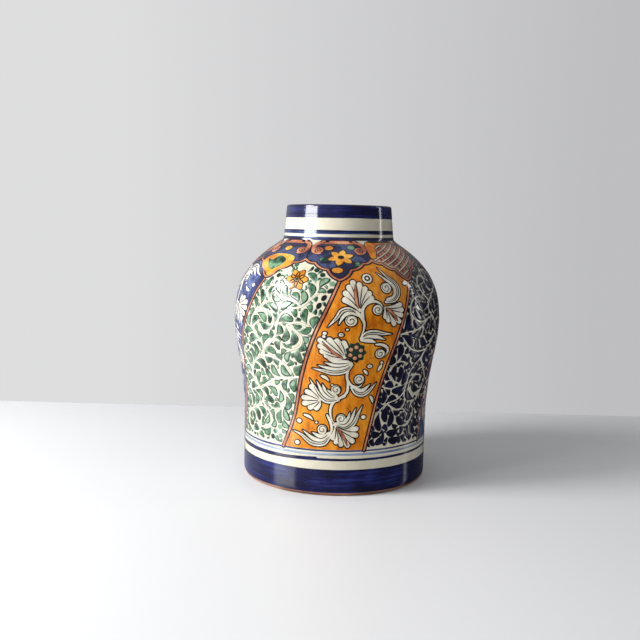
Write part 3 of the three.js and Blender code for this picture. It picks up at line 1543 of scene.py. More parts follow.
class Tip(Enum):
    """How a painted leaf ends."""

    POINTED = "pointed"
    ROUND = "round"


def leaf_widths(count: int, half: float, tip: Tip) -> np.ndarray:
    """Half the width of a leaf at each point from its root to its tip.

    Args:
        count: how many points the leaf has.
        half: half its greatest width.
        tip: how it ends.

    Returns:
        Half its width at each point.
    """
    t = np.linspace(0.0, 1.0, count)
    if tip is Tip.POINTED:
        return np.maximum(half * np.sin(math.pi * (0.16 + 0.84 * t) ** 0.9) ** 0.8, 0.05)
    return half * (0.3 + 0.7 * np.sin(math.pi / 2 * np.minimum(t / 0.8, 1.0)) ** 1.3)


@dataclass
class Scrollwork:
    """Leaf scrolls in white with drawn outlines, veins and coloured ribs.

    Its places are (angle, length) pairs of the front panel. Turn sets them round the vase, and a flipped
    panel is the same sheet turned upside down about its middle.
    """

    turn: float = 0.0
    flipped: bool = False
    middle: tuple = (7.3, 141.0)
    line: float = 1.2
    fill_height: float = 0.34
    line_height: float = 0.22
    vein_height: float = 0.42
    vein: float = 0.54

    def __post_init__(self) -> None:
        """Makes empty lists for the shapes."""
        self.white, self.dark, self.veins, self.ribs, self.rosettes = [], [], [], [], []

    def spot(self, pair: tuple) -> Points:
        """The sheet place of a pair.

        Args:
            pair: an (angle, length) pair of the front panel.

        Returns:
            Its place.
        """
        angle, height = pair
        if self.flipped:
            angle, height = 2 * self.middle[0] - angle, 2 * self.middle[1] - height
        return at(angle + self.turn, height)

    def path(self, pairs: tuple) -> Points:
        """A smooth path through pairs."""
        return flowing(np.array([self.spot(pair) for pair in pairs]))

    def brush(self, path: Points, halves: np.ndarray | float) -> None:
        """A white stroke with its dark outline.

        Args:
            path: its middle line.
            halves: half its width, at each point or all along.
        """
        halves = np.broadcast_to(np.asarray(halves, dtype=float), (len(path),))
        self.white.append(stroke(path, halves))
        self.dark.append(stroke(path, halves + self.line))

    def leaf(self, pairs: tuple, half: float, tip: Tip = Tip.POINTED) -> None:
        """One leaf or feather along a path.

        Args:
            pairs: the (angle, length) pairs of its middle line.
            half: half its greatest width.
            tip: how it ends.
        """
        path = self.path(pairs)
        self.brush(path, leaf_widths(len(path), half, tip))

    def scratch(self, path: Points, half: float | None = None) -> None:
        """A thin dark vein that fades at its ends.

        Args:
            path: its middle line.
            half: half its width, when it isn't the usual one.
        """
        t = np.linspace(0, 1, len(path))
        half = self.vein if half is None else half
        self.veins.append(stroke(path, half * (0.35 + 0.65 * np.sin(math.pi * t) ** 0.5)))

    def between(self, one: Points, other: Points, start: float, end: float) -> Points:
        """The line midway between two paths, from one share of their length to another.

        Args:
            one: one path.
            other: the other.
            start: where it starts, as a share of their length.
            end: where it ends.

        Returns:
            The points of the line.
        """
        t = np.linspace(start, end, 24)
        halfway = []
        for path in (one, other):
            marks = lengths(path) / lengths(path)[-1]
            halfway.append(np.stack([np.interp(t, marks, side) for side in path.T], axis=1))
        return (halfway[0] + halfway[1]) / 2

    def wing(self, feathers: tuple, half: float = 2.25) -> None:
        """A half leaf of overlapping feathers, with a vein between every two.

        Args:
            feathers: each feather's (angle, length) pairs.
            half: half a feather's width.
        """
        paths = [self.path(pairs) for pairs in feathers]
        for path in paths:
            self.brush(path, leaf_widths(len(path), half, Tip.POINTED))
        for one, other in zip(paths[:-1], paths[1:]):
            self.scratch(self.between(one, other, 0.08, 0.86))
        self.scratch(paths[0][2:int(len(paths[0]) * 0.8)])

    def fan(self, root: tuple, tips: tuple, half: float = 2.7, bow: float = 0.08) -> None:
        """A palmette of round lobes from one root, with a vein between every two.

        Args:
            root: where the lobes meet.
            tips: where each lobe ends.
            half: half a lobe's width.
            bow: how far the outer lobes bow.
        """
        start = self.spot(root)
        middle = (len(tips) - 1) / 2
        paths = []
        for i, tip in enumerate(tips):
            lean = bow * (i - middle) / max(middle, 1)
            paths.append(bowed(start, self.spot(tip), lean))
        for path in paths:
            self.brush(path, leaf_widths(len(path), half, Tip.ROUND))
        for one, other in zip(paths[:-1], paths[1:]):
            self.scratch(self.between(one, other, 0.12, 0.97))

    def rib(self, start: tuple, end: tuple, half: float = 1.3, bow: float = 0.06) -> None:
        """The coloured rib of a palmette.

        Args:
            start: its root.
            end: its tip.
            half: half its width.
            bow: how far it bows.
        """
        path = bowed(self.spot(start), self.spot(end), bow)
        t = np.linspace(0, 1, len(path))
        halves = half * np.sin(math.pi * (0.12 + 0.86 * t)) ** 0.7
        self.ribs.append(stroke(path, halves))
        self.veins.append(stroke(path, halves + 0.4))

    def snail(self, centre: tuple, radius: float, start: float, turns: float = 1.6) -> None:
        """A curled end: a white disc with a spiral drawn in it.

        Args:
            centre: its middle.
            radius: its radius.
            start: the angle of the spiral's outside end, in degrees.
            turns: how many turns the spiral makes, counterclockwise when positive.
        """
        middle = self.spot(centre)
        if self.flipped:
            start += 180
        radius *= 1.08
        self.white.append(disc(middle, radius))
        self.dark.append(disc(middle, radius + self.line))
        spiral = curl(middle, radius, start, turns * 0.85, 0.2)
        self.veins.append(stroke(spiral, np.linspace(0.34, 0.5, len(spiral))))

    def dot(self, centre: tuple, radius: float, squash: float = 0.85, tilt: float = 0.0) -> None:
        """A white dot or oval.

        Args:
            centre: its middle.
            radius: its radius.
            squash: its second radius as a share of the first.
            tilt: how far it is turned, in degrees.
        """
        middle = self.spot(centre)
        self.white.append(disc(middle, radius, squash, tilt))
        self.dark.append(disc(middle, radius + self.line, squash, tilt))

    def draw(self) -> None:
        """Draws the whole panel, from its foot to its collar."""
        self.foot_group()
        self.lower_group()
        self.middle_group()
        self.upper_group()
        self.small_marks()

    def foot_group(self) -> None:
        """The two wings, the palmette and the curls above the foot lines."""
        self.leaf(((-4.2, 83), (-2.4, 77), (-1.4, 70), (-2.4, 64), (-4.6, 60)), 1.5)
        self.wing((
            ((-2, 63), (-6, 54.5), (-13, 54.5), (-19, 61.5), (-24.5, 65.2)),
            ((-2.5, 64), (-7, 58), (-12, 59), (-18.5, 66.6)),
            ((-3, 65), (-6, 61.5), (-9, 62), (-13, 65.2)),
        ))
        self.snail((-6.8, 68.2), 4.4, -60, 1.6)
        tips = ((12.6, 69.5), (12.6, 63), (10.6, 57.2), (7.8, 53.2), (4, 54), (1.2, 56.4), (-0.8, 60.5))
        self.fan((0.6, 72.5), tips, 2.5)
        self.rib((1.4, 70.5), (7.6, 52.6))
        self.wing((
            ((0, 73.5), (6, 69.5), (11, 75), (13.6, 85), (15.8, 93)),
            ((0.5, 74.5), (6, 73), (9.4, 79), (12, 90.6)),
            ((2, 75.5), (5.6, 75.5), (7.6, 79.5), (8.6, 86.6)),
        ))
        self.snail((3.6, 79.6), 4.4, 200, -1.6)
        self.leaf(((5.6, 102.4), (1, 98.6), (-1.8, 93), (-2.4, 85), (-1, 77), (1.8, 72.6)), 1.35)

    def lower_group(self) -> None:
        """The fan, the tall wing and the curls under the rosette."""
        tips = ((-13, 111), (-15.6, 105.6), (-17.6, 99.5), (-17.4, 93.6), (-14, 89.8), (-10.4, 89.6))
        self.fan((-8.2, 97.4), tips, 2.6)
        self.wing((
            ((2, 98.6), (-4, 97), (-8.4, 102), (-11.2, 110), (-14, 119.4)),
            ((1.5, 100), (-3, 100.2), (-6.4, 105), (-8.4, 111), (-10.2, 117.8)),
            ((1, 101.2), (-2, 102.4), (-4.6, 106), (-6, 110), (-7, 114.8)),
            ((0.6, 102.4), (-2, 104.6), (-3.4, 107), (-4.2, 109)),
        ))
        self.leaf(((6.2, 121), (6.9, 113), (6.4, 106), (3.6, 101.6), (0.4, 101), (-2, 104.5)), 1.3)
        self.snail((0.5, 108.8), 4.2, -30, 1.5)
        self.leaf(((7.9, 133.4), (6.4, 127), (6.4, 119.6), (9, 113.4), (13, 112), (15.6, 116.4)), 1.4)
        self.snail((13, 119.4), 4.4, 0, -1.6)
        self.wing((
            ((9, 111.6), (11.4, 106), (15, 103.8), (18.6, 107), (23, 115.8)),
            ((9.4, 112.2), (12.4, 108.6), (15.4, 108.4), (19.4, 114.4)),
        ))
        self.wing((
            ((8.4, 134), (5, 128), (-1, 126), (-7, 128), (-12.4, 129.9)),
            ((8.4, 135), (4, 131), (-2, 130.2), (-9.6, 133.2)),
            ((8, 136), (3.6, 134), (-1, 133.8), (-6, 136.4)),
            ((7.4, 137.2), (3.4, 137), (-0.6, 137.4), (-4.4, 139.8)),
        ))

    def middle_group(self) -> None:
        """The rosette, the palmette beside it and the wing above."""
        tips = ((3.8, 156.2), (0.4, 158), (-3.4, 158.8), (-8, 158.2), (-8, 152.6), (-7, 147.4),
                (-4.8, 143.4))
        self.fan((5, 141.4), tips, 2.6)
        self.rib((3.4, 141.2), (-7, 157.4), 1.15)
        self.rosette((10, 146.6))
        self.leaf(((20.6, 154.4), (24, 154), (27.2, 150.4), (27.4, 145.6), (25.6, 142)), 1.4)
        self.snail((23.4, 145.2), 4.3, 10, 1.6)
        self.wing((
            ((12.6, 161), (15.6, 165.4), (20, 166.2), (24.4, 164.8), (29.4, 164.2)),
            ((12.6, 160), (16, 162.6), (20.4, 162), (25.6, 158.8)),
            ((12.8, 159), (15, 159), (17.6, 158.2), (20.6, 156.2)),
        ))

    def upper_group(self) -> None:
        """The big scrolls and palmettes on the shoulder."""
        self.leaf(((12.6, 163), (14, 171), (13.4, 178), (10.4, 184.6), (6, 187.4)), 1.7, Tip.ROUND)
        self.wing((
            ((10, 185), (6, 188.4), (2.4, 186.4), (0, 180), (-4.4, 171)),
            ((11.6, 182), (7.6, 185), (4.4, 183.4), (2.4, 178.6), (1, 173.2)),
        ), 1.9)
        self.snail((7.3, 177.4), 4.8, 40, 1.6)
        tips = ((4, 197), (4.4, 203.4), (6.2, 209.4), (8.4, 214.4), (12, 212.2), (14.8, 208), (17, 203.4),
                (18, 198.6))
        self.fan((11.6, 186.4), tips, 2.8)
        self.rib((10.8, 190), (10, 213), 1.35)
        self.leaf(((13.4, 180), (13, 188), (15.4, 194), (19.6, 195.8), (23, 193), (24.4, 188)), 1.7)
        self.snail((21.2, 187.6), 4.4, 60, -1.6)
        tips = ((34.6, 192), (35.4, 187), (35, 182), (33.6, 176), (30.4, 174), (27, 177.6), (25.4, 181))
        self.fan((25.2, 190), tips, 2.4)
        self.rib((26, 189.2), (32.6, 176.4), 1.4)
        self.wing((
            ((26, 195), (31.4, 196.6), (34.8, 204), (34.2, 213), (29.4, 221), (25.2, 231.4)),
            ((27, 197.4), (31, 199.4), (32.8, 205), (32, 211.6), (28.4, 217.4), (23.4, 225.4)),
        ), 1.9)
        self.snail((27.4, 209), 4.9, 60, 1.6)
        self.eye((16.9, 219))

    def small_marks(self) -> None:
        """The dots and small leaves that fill the gaps."""
        dots = ((-5.8, 165, 1.9), (-6.2, 162, 1.7), (2.4, 164, 2.2), (5.4, 169, 1.3), (-20.5, 75.4, 2.6),
                (-21.6, 53.6, 2.6), (16.6, 81, 2.4), (40.6, 213, 2.3), (-10.2, 75, 1.3), (-1.6, 113.4, 1.2),
                (18.2, 132.6, 2.3), (24.8, 136, 1.5))
        for *centre, radius in dots:
            self.dot(centre, radius)
        for pairs in (((-17.4, 82), (-14.4, 80.4), (-12, 77)), ((-7.4, 122.6), (-5, 120.6), (-3.2, 117)),
                      ((20, 101.6), (21.2, 98.4), (21.6, 94.6)), ((15.4, 128.4), (16.4, 126.4), (17.4, 124)),
                      ((24.8, 133.4), (24, 130.4), (23, 127))):
            self.leaf(pairs, 1.5)
        for centre in ((18.2, 132.6), (2.4, 164)):
            self.veins.append(disc(self.spot(centre), 0.7))

    def rosette(self, centre: tuple) -> None:
        """A dark scalloped rosette with a ring of coloured dots.

        Args:
            centre: its middle.
        """
        middle = self.spot(centre)
        angle = np.linspace(0, math.tau, 90, endpoint=False)
        reach = 9.7 + 0.85 * np.cos(9 * angle)
        scallops = np.stack([reach * 0.94 * np.cos(angle), reach * np.sin(angle)], axis=1)
        self.rosettes.append(middle + scallops)
        for i in range(6):
            side = math.radians(60 * i + 25)
            spot = middle + 5.5 * np.array([math.cos(side) * 0.94, math.sin(side)])
            self.veins.append(disc(spot, 2.5))
            self.ribs.append(disc(spot, 2.0))

    def eye(self, centre: tuple) -> None:
        """A white disc with a dark ring in it.

        Args:
            centre: its middle.
        """
        middle = self.spot(centre)
        self.white.append(disc(middle, 5.0))
        self.dark.append(disc(middle, 5.0 + self.line))
        for start in (0, 180):
            half_ring = curl(middle, 2.3, start, 0.53, 1.0)
            self.veins.append(stroke(half_ring, 0.85))


@dataclass
class ScrollPanels:
    """The scrollwork of the orange panels and of the mid-blue panels."""

    def build(self, shop: Workshop) -> None:
        """Draws both sheets twice and lays them.

        Args:
            shop: the workshop.
        """
        sheets = (
            ("orange", 0.0, False, Palette.BROWN, Palette.SALMON, Palette.DARK_GREEN),
            ("blue", 90.0, True, Palette.BLUE_VEIN, Palette.PALE_BLUE, Palette.BLUE_VEIN),
        )
        for name, start, flipped, ink, rib, rosette in sheets:
            white, dark = Relief(f"white_leaves_on_{name}"), Relief(f"outlines_on_{name}")
            veins, ribs = Relief(f"veins_on_{name}"), Relief(f"ribs_on_{name}")
            rosettes = Relief(f"rosettes_on_{name}")
            for turn in HALF_TURNS:
                sheet = Scrollwork(turn=start + turn, flipped=flipped)
                sheet.draw()
                white.patches(sheet.white, sheet.fill_height, 0.25)
                dark.patches(sheet.dark, sheet.line_height, 0.15)
                veins.patches(sheet.veins, sheet.vein_height, 0.08)
                ribs.patches(sheet.ribs, 0.5, 0.2)
                rosettes.patches(sheet.rosettes, 0.44, 0.3)
            shop.lay(white, Palette.WHITE)
            shop.lay(dark, ink)
            shop.lay(veins, ink)
            shop.lay(rosettes, rosette)
            shop.lay(ribs, rib)


# ---------------------------------------------------------------------------------------------------------
# The collar's bracket edge, which the panels below it also follow

TIP_LEVEL, JOINT_LEVEL, COLLAR_TOP = 216.8, 241.2, 270.6
NOTCHES = ((0.31, 228.3), (0.68, 236.2))  # share of the way from tip to joint, and level


def bracket_half(tip: float, joint: float) -> Points:
    """Half of a collar panel's lower edge, from its tip to its joint, with two notches.

    Args:
        tip: the angle of its tip, in degrees.
        joint: the angle of its joint with its neighbour.

    Returns:
        Its points, from the tip up.
    """
    reach = joint - tip
    notches = ((tip + share * reach, level) for share, level in NOTCHES)
    corners = [(tip, TIP_LEVEL), *notches, (joint, JOINT_LEVEL)]
    bow = -0.12 if reach > 0 else 0.12
    parts = []
    for start, end in zip(corners[:-1], corners[1:]):
        parts.append(bowed(at(*start), at(*end), bow)[:-1])
    return np.vstack([*parts, [at(*corners[-1])]])


def open_panel(left: Border, right: Border, turn: float, low: float = 48.4) -> Points:
    """The part of a panel that shows below the collar, as a closed counterclockwise outline.

    Args:
        left: the border on its left.
        right: the border on its right.
        turn: how far round the vase it is, in degrees.
        low: its foot, as a length up the outline.

    Returns:
        The outline.
    """
    start, end = left.knots[-1][0] + turn, right.knots[-1][0] + turn
    joint = (start + end) / 2
    left_line, right_line = left.line(turn), right.line(turn)
    edge = np.array([[left_line[0][0], low], [right_line[0][0], low]])
    roof = [bracket_half(end, joint), bracket_half(start, joint)[::-1]]
    return np.vstack([edge, right_line[1:], *roof, left_line[:0:-1]])


# ---------------------------------------------------------------------------------------------------------
# Foliage: cream stems in scrolls, with comma leaves packed round them

FOLIAGE_STEMS = (
    ((-66, 74), (-60, 77), (-53, 82), (-47.5, 89), (-46, 97), (-50, 104), (-54.5, 112), (-54.5, 121),
     (-50.5, 130), (-45, 137), (-42, 145), (-44, 153), (-48, 160), (-51, 169), (-49, 179), (-44, 187),
     (-38, 193)),
    ((-49, 179), (-42, 184.5), (-35.6, 180), (-34.2, 171), (-38, 163.6), (-44, 164.6), (-45.4, 171)),
    ((-20, 120), (-27, 117.4), (-34, 116), (-40, 111), (-45, 105.4), (-50, 103)),
    ((-45, 105.4), (-38.6, 108.4), (-32.4, 105), (-29.4, 97.4), (-30.6, 88), (-36, 83.4), (-41.6, 86)),
    ((-14, 171), (-20, 174), (-26, 170.4), (-21, 166), (-17.6, 159), (-19, 150.8), (-24.6, 146.6),
     (-29.4, 150)),
    ((-42, 145), (-36.6, 152), (-33, 160), (-32, 170), (-30, 180), (-25, 186.4), (-18.6, 189), (-14, 196),
     (-9.4, 203)),
    ((-60, 77), (-64.6, 70), (-63.6, 60.6), (-58, 54.6), (-51.6, 56), (-50, 63), (-54, 67.4)),
    ((-45, 137), (-38, 138), (-31.6, 135), (-26.6, 129), (-24.6, 123)),
    ((-47.5, 89), (-41, 78), (-39.6, 70), (-44, 62), (-50, 63)),
    ((-54.5, 121), (-60, 128), (-62, 137), (-58, 145), (-52, 145)),
    ((-38, 193), (-41, 202), (-38, 211), (-33, 216)),
    ((-18.6, 189), (-24, 196), (-31, 197), (-35, 203)),
)


@dataclass
class LeafShape:
    """One comma leaf, a metre long and wide until it is scaled, bending to one side."""

    bend: float = 0.5
    count: int = 24
    widest: float = 1.8
    blunt: float = 0.55

    def half_at(self, along: np.ndarray) -> np.ndarray:
        """Half its width at shares of its length, as a share of its greatest half width."""
        return np.sin(math.pi * np.clip(along, 0, 1) ** self.widest) ** self.blunt

    def spine_at(self, along: np.ndarray, bend: float) -> np.ndarray:
        """How far its spine stands aside at shares of its length, in widths.

        Args:
            along: shares of its length.
            bend: how far it bends, and to which side.

        Returns:
            The distance at each share.
        """
        return bend * (np.sin(math.pi * along) * 0.5 - along * 0.5)

    def outline(self, shrink: float) -> tuple[np.ndarray, np.ndarray]:
        """Its outline, drawn in by a share.

        Args:
            shrink: the share of its full size that is left.

        Returns:
            The outline, and each point's place along and across the leaf.
        """
        half = self.count // 2
        t = (1 - np.cos(np.linspace(0, math.pi, half + 1))) / 2
        width = 0.5 * self.half_at(t) * shrink
        width[[0, -1]] = 0.0
        along = 0.64 + (t - 0.64) * (0.35 + 0.65 * shrink)
        spine = self.spine_at(along, self.bend)
        lower = np.stack([along, spine - width], axis=1)
        upper = np.stack([along, spine + width], axis=1)[::-1][1:-1]
        places_along = np.concatenate([along, along[::-1][1:-1]])
        across = np.concatenate([-np.ones(half + 1), np.ones(half - 1)]) * shrink
        return np.vstack([lower, upper]), np.stack([places_along, across], axis=1)

    def made(self, name: str) -> bpy.types.Object:
        """The leaf as a small closed mesh with its own 'leaf' places for the wash.

        Args:
            name: the object's name.

        Returns:
            The object, in the scene.
        """
        rings = ((1.0, BURIED), (1.0, 0.1), (0.8, 0.26), (0.42, 0.34))
        spots, marks, faces = [], [], []
        for shrink, height in rings:
            ring, mark = self.outline(shrink)
            spots.append(np.column_stack([ring, np.full(len(ring), height * MM)]))
            marks.append(np.column_stack([mark, np.zeros(len(ring))]))
        count = len(spots[0])
        for level in range(len(rings) - 1):
            for i in range(count):
                j = (i + 1) % count
                a, b = level * count, (level + 1) * count
                faces.append((a + i, a + j, b + j, b + i))
        faces.append(tuple(range(count))[::-1])
        faces.append(tuple(range((len(rings) - 1) * count, len(rings) * count)))
        mesh = bpy.data.meshes.new(name)
        mesh.from_pydata(np.vstack(spots).tolist(), [], faces)
        leaf = mesh.attributes.new("leaf", "FLOAT_VECTOR", "POINT")
        leaf.data.foreach_set("vector", np.vstack(marks).astype(np.float32).ravel())
        return placed(name, mesh)


@dataclass(frozen=True)
class Leaf:
    """One leaf to lay: its root, direction, length, width and the side it bends to."""

    root: Points
    side: float
    long: float
    wide: float
    bend: int


@dataclass
class Foliage:
    """One colour of foliage panels: stems, and the leaves that fill the ground between them."""

    name: str
    finish: GlazeColour
    left: Border
    right: Border
    flipped: bool = False
    seed: int = 11
    halves: tuple = (4.0, 3.5, 3.1, 2.7, 2.3, 1.9, 1.5)  # half widths of leaves, widest first
    stretches: tuple = (3.7, 3.2, 2.8, 2.4)  # lengths, in half widths
    gap: float = 0.0
    stem_half: float = 0.95
    kept_clear: tuple = ()
    shape: LeafShape = field(default_factory=LeafShape)

    def __post_init__(self) -> None:
        """Starts with no leaves and a seeded hand."""
        self.draw = random.Random(self.seed)
        self.leaves = []
        self.taken = np.zeros((0, 3))

    def stems(self) -> list:
        """The stems' paths on the front panel."""
        paths = []
        for knots in FOLIAGE_STEMS:
            pairs = [(12.5 - a, 282 - v) if self.flipped else (a, v) for a, v in knots]
            paths.append(flowing(places(*pairs), gap=1.0))
        return paths

    def discs_of(self, leaf: Leaf) -> np.ndarray:
        """Discs that cover a leaf, as (x, y, radius).

        Args:
            leaf: the leaf.

        Returns:
            The discs, from its root to its tip.
        """
        along = np.array([0.1, 0.25, 0.4, 0.55, 0.7, 0.85])
        radius = np.minimum(self.shape.half_at(along) * leaf.wide / 2, (1.04 - along) * leaf.long)
        aside = self.shape.spine_at(along, self.shape.bend * leaf.bend) * leaf.wide
        aim = np.array([math.cos(leaf.side), math.sin(leaf.side)])
        across = np.array([-aim[1], aim[0]])
        spots = leaf.root + along[:, None] * leaf.long * aim + aside[:, None] * across
        return np.column_stack([spots, radius])

    def has_room(self, leaf: Leaf, taken: np.ndarray) -> bool:
        """Whether a leaf touches nothing that is already down.

        Args:
            leaf: the leaf.
            taken: the discs that are already down.

        Returns:
            Whether it fits inside the panel without touching them.
        """
        cover = self.discs_of(leaf)
        if not inside(self.area, cover[:, :2]).all():
            return False
        near = taken[np.hypot(*(taken[:, :2] - cover[3, :2]).T) < leaf.long + 6]
        apart = np.hypot(*(near[None, :, :2] - cover[:, None, :2]).transpose(2, 0, 1))
        return not (apart < near[None, :, 2] + cover[:, None, 2] + self.gap).any()

    def put_down(self, leaf: Leaf) -> None:
        """Adds a leaf and takes its room.

        Args:
            leaf: the leaf.
        """
        cover = self.discs_of(leaf)
        self.leaves.append(leaf)
        self.taken = np.vstack([self.taken, cover])
        for x, y, radius in cover:
            self.room = np.minimum(self.room, np.hypot(self.spots[:, 0] - x, self.spots[:, 1] - y) - radius)

    def clear_ground(self, stems: list) -> None:
        """Marks out the panel: where leaves may go, and how much room each place has.

        Args:
            stems: the stems' paths.
        """
        self.area = grown(open_panel(self.left, self.right, 0.0), -2.2)
        edge = spaced(np.vstack([self.area, self.area[:1]]), 0.9)
        keep = np.array([[*at(a, v), radius] for a, v, radius in self.kept_clear]).reshape(-1, 3)
        along = np.vstack(stems)[::2]
        stem_discs = np.column_stack([along, np.full(len(along), self.stem_half - 0.2)])
        self.taken = np.vstack([np.column_stack([edge, np.full(len(edge), -0.4)]), keep, stem_discs])
        low, high = self.area.min(axis=0), self.area.max(axis=0)
        across, up = np.meshgrid(np.arange(low[0], high[0], 1.1), np.arange(low[1], high[1], 1.1))
        grid = np.stack([across.ravel(), up.ravel()], axis=1)
        self.spots = grid[inside(self.area, grid)]
        self.room = np.full(len(self.spots), 1e6)
        for x, y, radius in self.taken:
            self.room = np.minimum(self.room, np.hypot(self.spots[:, 0] - x, self.spots[:, 1] - y) - radius)

    def fill(self) -> list:
        """Places every leaf of the front panel and gives the stems' paths."""
        stems = self.stems()
        self.clear_ground(stems)
        for path in stems:
            self.line_stem(path)
        along = np.vstack(stems)
        aside = np.vstack([leftwards(path) for path in stems])
        for half in self.halves:
            while True:
                free = np.flatnonzero(self.room >= half + self.gap)
                if not len(free):
                    break
                pick = free[np.argmin(self.room[free])]
                self.grow_leaf(self.spots[pick], half, along, aside)
        self.swell()
        return stems

    def swell(self, rounds: int = 6) -> None:
        """Lets every leaf swell a little at a time, about its head, while it has room.

        Args:
            rounds: how many times each leaf is tried.
        """
        count = len(self.discs_of(self.leaves[0]))
        first = len(self.taken) - count * len(self.leaves)
        for _ in range(rounds):
            for i, leaf in enumerate(self.leaves):
                rows = slice(first + count * i, first + count * (i + 1))
                others = np.vstack([self.taken[:rows.start], self.taken[rows.stop:]])
                for longer, wider in ((1.06, 1.07), (1.0, 1.07), (1.06, 1.0)):
                    aim = np.array([math.cos(leaf.side), math.sin(leaf.side)])
                    root = leaf.root - aim * leaf.long * (longer - 1) * 0.68
                    bigger = Leaf(root, leaf.side, leaf.long * longer, leaf.wide * wider, leaf.bend)
                    if self.has_room(bigger, others):
                        self.leaves[i] = bigger
                        self.taken[rows] = self.discs_of(bigger)
                        break

    def grow_leaf(self, head: Points, half: float, along: Points, aside: Points) -> None:
        """Puts a leaf down with its head at a place, and its tail back towards the nearest stem.

        Args:
            head: where the leaf's widest part goes.
            half: half its width.
            along: every point of the stems.
            aside: the stems' normals at those points.
        """
        nearest = int(np.argmin(np.hypot(*(along - head).T)))
        course = np.array([aside[nearest, 1], -aside[nearest, 0]])
        away = head - along[nearest]
        away = away / max(float(np.hypot(*away)), 1e-6)
        wish = math.atan2(*(away * 0.75 + course * 0.66)[::-1])
        sense = 1 if away @ aside[nearest] < 0 else -1
        best, best_score = None, -1e6
        for turn in (0, 18, -18, 36, -36, 60, -60, 90, -90):
            side = wish + math.radians(turn)
            aim = np.array([math.cos(side), math.sin(side)])
            for bend in (sense, -sense):
                for stretch in (*self.stretches, 2.05):
                    long = stretch * half
                    shift = self.shape.spine_at(np.array([0.68]), self.shape.bend * bend)[0] * 2 * half
                    root = head - aim * long * 0.68 - np.array([-aim[1], aim[0]]) * shift
                    leaf = Leaf(root, side, long, 2 * half, bend)
                    score = stretch - abs(turn) / 45 - (0 if bend == sense else 0.3)
                    if score > best_score and self.has_room(leaf, self.taken):
                        best, best_score = leaf, score
        if best is None:
            best = Leaf(head - np.array([half, 0]), 0.0, 2 * half, 1.7 * half, 1)
        self.put_down(best)

    def line_stem(self, path: Points) -> None:
        """Lines both sides of a stem with leaves that lean forward.

        Args:
            path: the stem's path.
        """
        run = lengths(path)
        aside = leftwards(path)
        half = self.halves[0]
        for mark in np.arange(2.0, run[-1], 2.6):
            i = min(int(np.searchsorted(run, mark)), len(path) - 1)
            course = math.atan2(-aside[i, 0], aside[i, 1])
            for sense in (-1, 1):
                lean = math.radians(self.draw.uniform(42, 58))
                root = path[i] + sense * aside[i] * (self.stem_half + 0.55)
                for shrink in (1.0, 0.86):
                    long, wide = self.stretches[0] * half * shrink, 2 * half * shrink
                    leaf = Leaf(root, course + sense * lean, long, wide, -sense)
                    if self.has_room(leaf, self.taken):
                        self.put_down(leaf)
                        break

    def lay_leaves(self, shop: Workshop, leaves: list, bend: float, name: str) -> None:
        """Lays the leaves that bend one way, on both panels of this colour.

        Args:
            shop: the workshop.
            leaves: the leaves.
            bend: how far they bend, and to which side.
            name: the piece's name.
        """
        shape = LeafShape(bend=bend).made(name + "_shape")
        rows = []
        for turn in HALF_TURNS:
            shift = math.radians(turn) * SHEET_RADIUS
            for leaf in leaves:
                rows.append((leaf.root[0] + shift, leaf.root[1], leaf.side, leaf.long * MM, leaf.wide * MM))
        mesh = bpy.data.meshes.new(name)
        mesh.from_pydata([(x * MM, y * MM, 0.0) for x, y, *_ in rows], [], [])
        for place, title in ((2, "turn"), (3, "long"), (4, "wide")):
            held = mesh.attributes.new(title, "FLOAT", "POINT")
            held.data.foreach_set("value", [row[place] for row in rows])
        base = placed(name, mesh)
        inputs = {"Outline": shop.outside, "Leaf": shape, "Colour": shop.palette.material(self.finish)}
        piece = grown_mesh(name, base, shop.leafing, inputs)
        bpy.data.objects.remove(shape)
        shop.finish(piece, self.finish.slot)

    def build(self, shop: Workshop) -> None:
        """Fills the panel and lays its stems and leaves.

        Args:
            shop: the workshop.
        """
        stems = self.fill()
        area = open_panel(self.left, self.right, 0.0)
        cream, edges = Relief(f"{self.name}_stems"), Relief(f"{self.name}_stem_edges")
        for turn in HALF_TURNS:
            shift = np.array([math.radians(turn) * SHEET_RADIUS, 0.0])
            for path in stems:
                path = path[inside(grown(area, -2.2), path)]
                if len(path) < 4:
                    continue
                swell = np.sin(math.pi * np.linspace(0.25, 1.0, len(path))) ** 0.6
                halves = self.stem_half * (0.45 + 0.55 * swell)
                cream.patch(stroke(path + shift, halves), 0.26)
                edges.patch(stroke(path + shift, halves + 0.38), 0.14)
        shop.lay(cream, Palette.WHITE)
        shop.lay(edges, Palette.GREY_LINE)
        for bend, word in ((1, "left"), (-1, "right")):
            leaves = [leaf for leaf in self.leaves if leaf.bend == bend]
            self.lay_leaves(shop, leaves, self.shape.bend * bend, f"{self.name}_leaves_curling_{word}")


# ---------------------------------------------------------------------------------------------------------
# The collar: eight bracket-edged panels round the shoulder


class CollarKind(Enum):
    """What a collar panel is painted with."""

    FLOWER = "flower"
    MEDALLION = "medallion"
    BASKET = "basket"


@dataclass
class CollarSheet:
    """Draws on the steep shoulder, where the wall is narrower than the sheet.

    Shapes are drawn true to size at its radius and then spread to the sheet.
    """

    centre: float
    radius: float = 68.0

    def path(self, *pairs: tuple, closed: bool = False) -> Points:
        """A smooth path through (angle, length) pairs, with angles from the panel's centre."""
        spots = np.array([at(angle + self.centre, height) for angle, height in pairs])
        return flowing(spots * self.narrow(), closed)

    def spot(self, angle: float, height: float) -> Points:
        """One place, true to size."""
        return at(angle + self.centre, height) * self.narrow()

    def narrow(self) -> np.ndarray:
        """The scale from the sheet to true size."""
        return np.array([self.radius / SHEET_RADIUS, 1.0])

    def spread(self, outline: Points) -> Points:
        """A true-size outline spread to the sheet."""
        return outline / self.narrow()


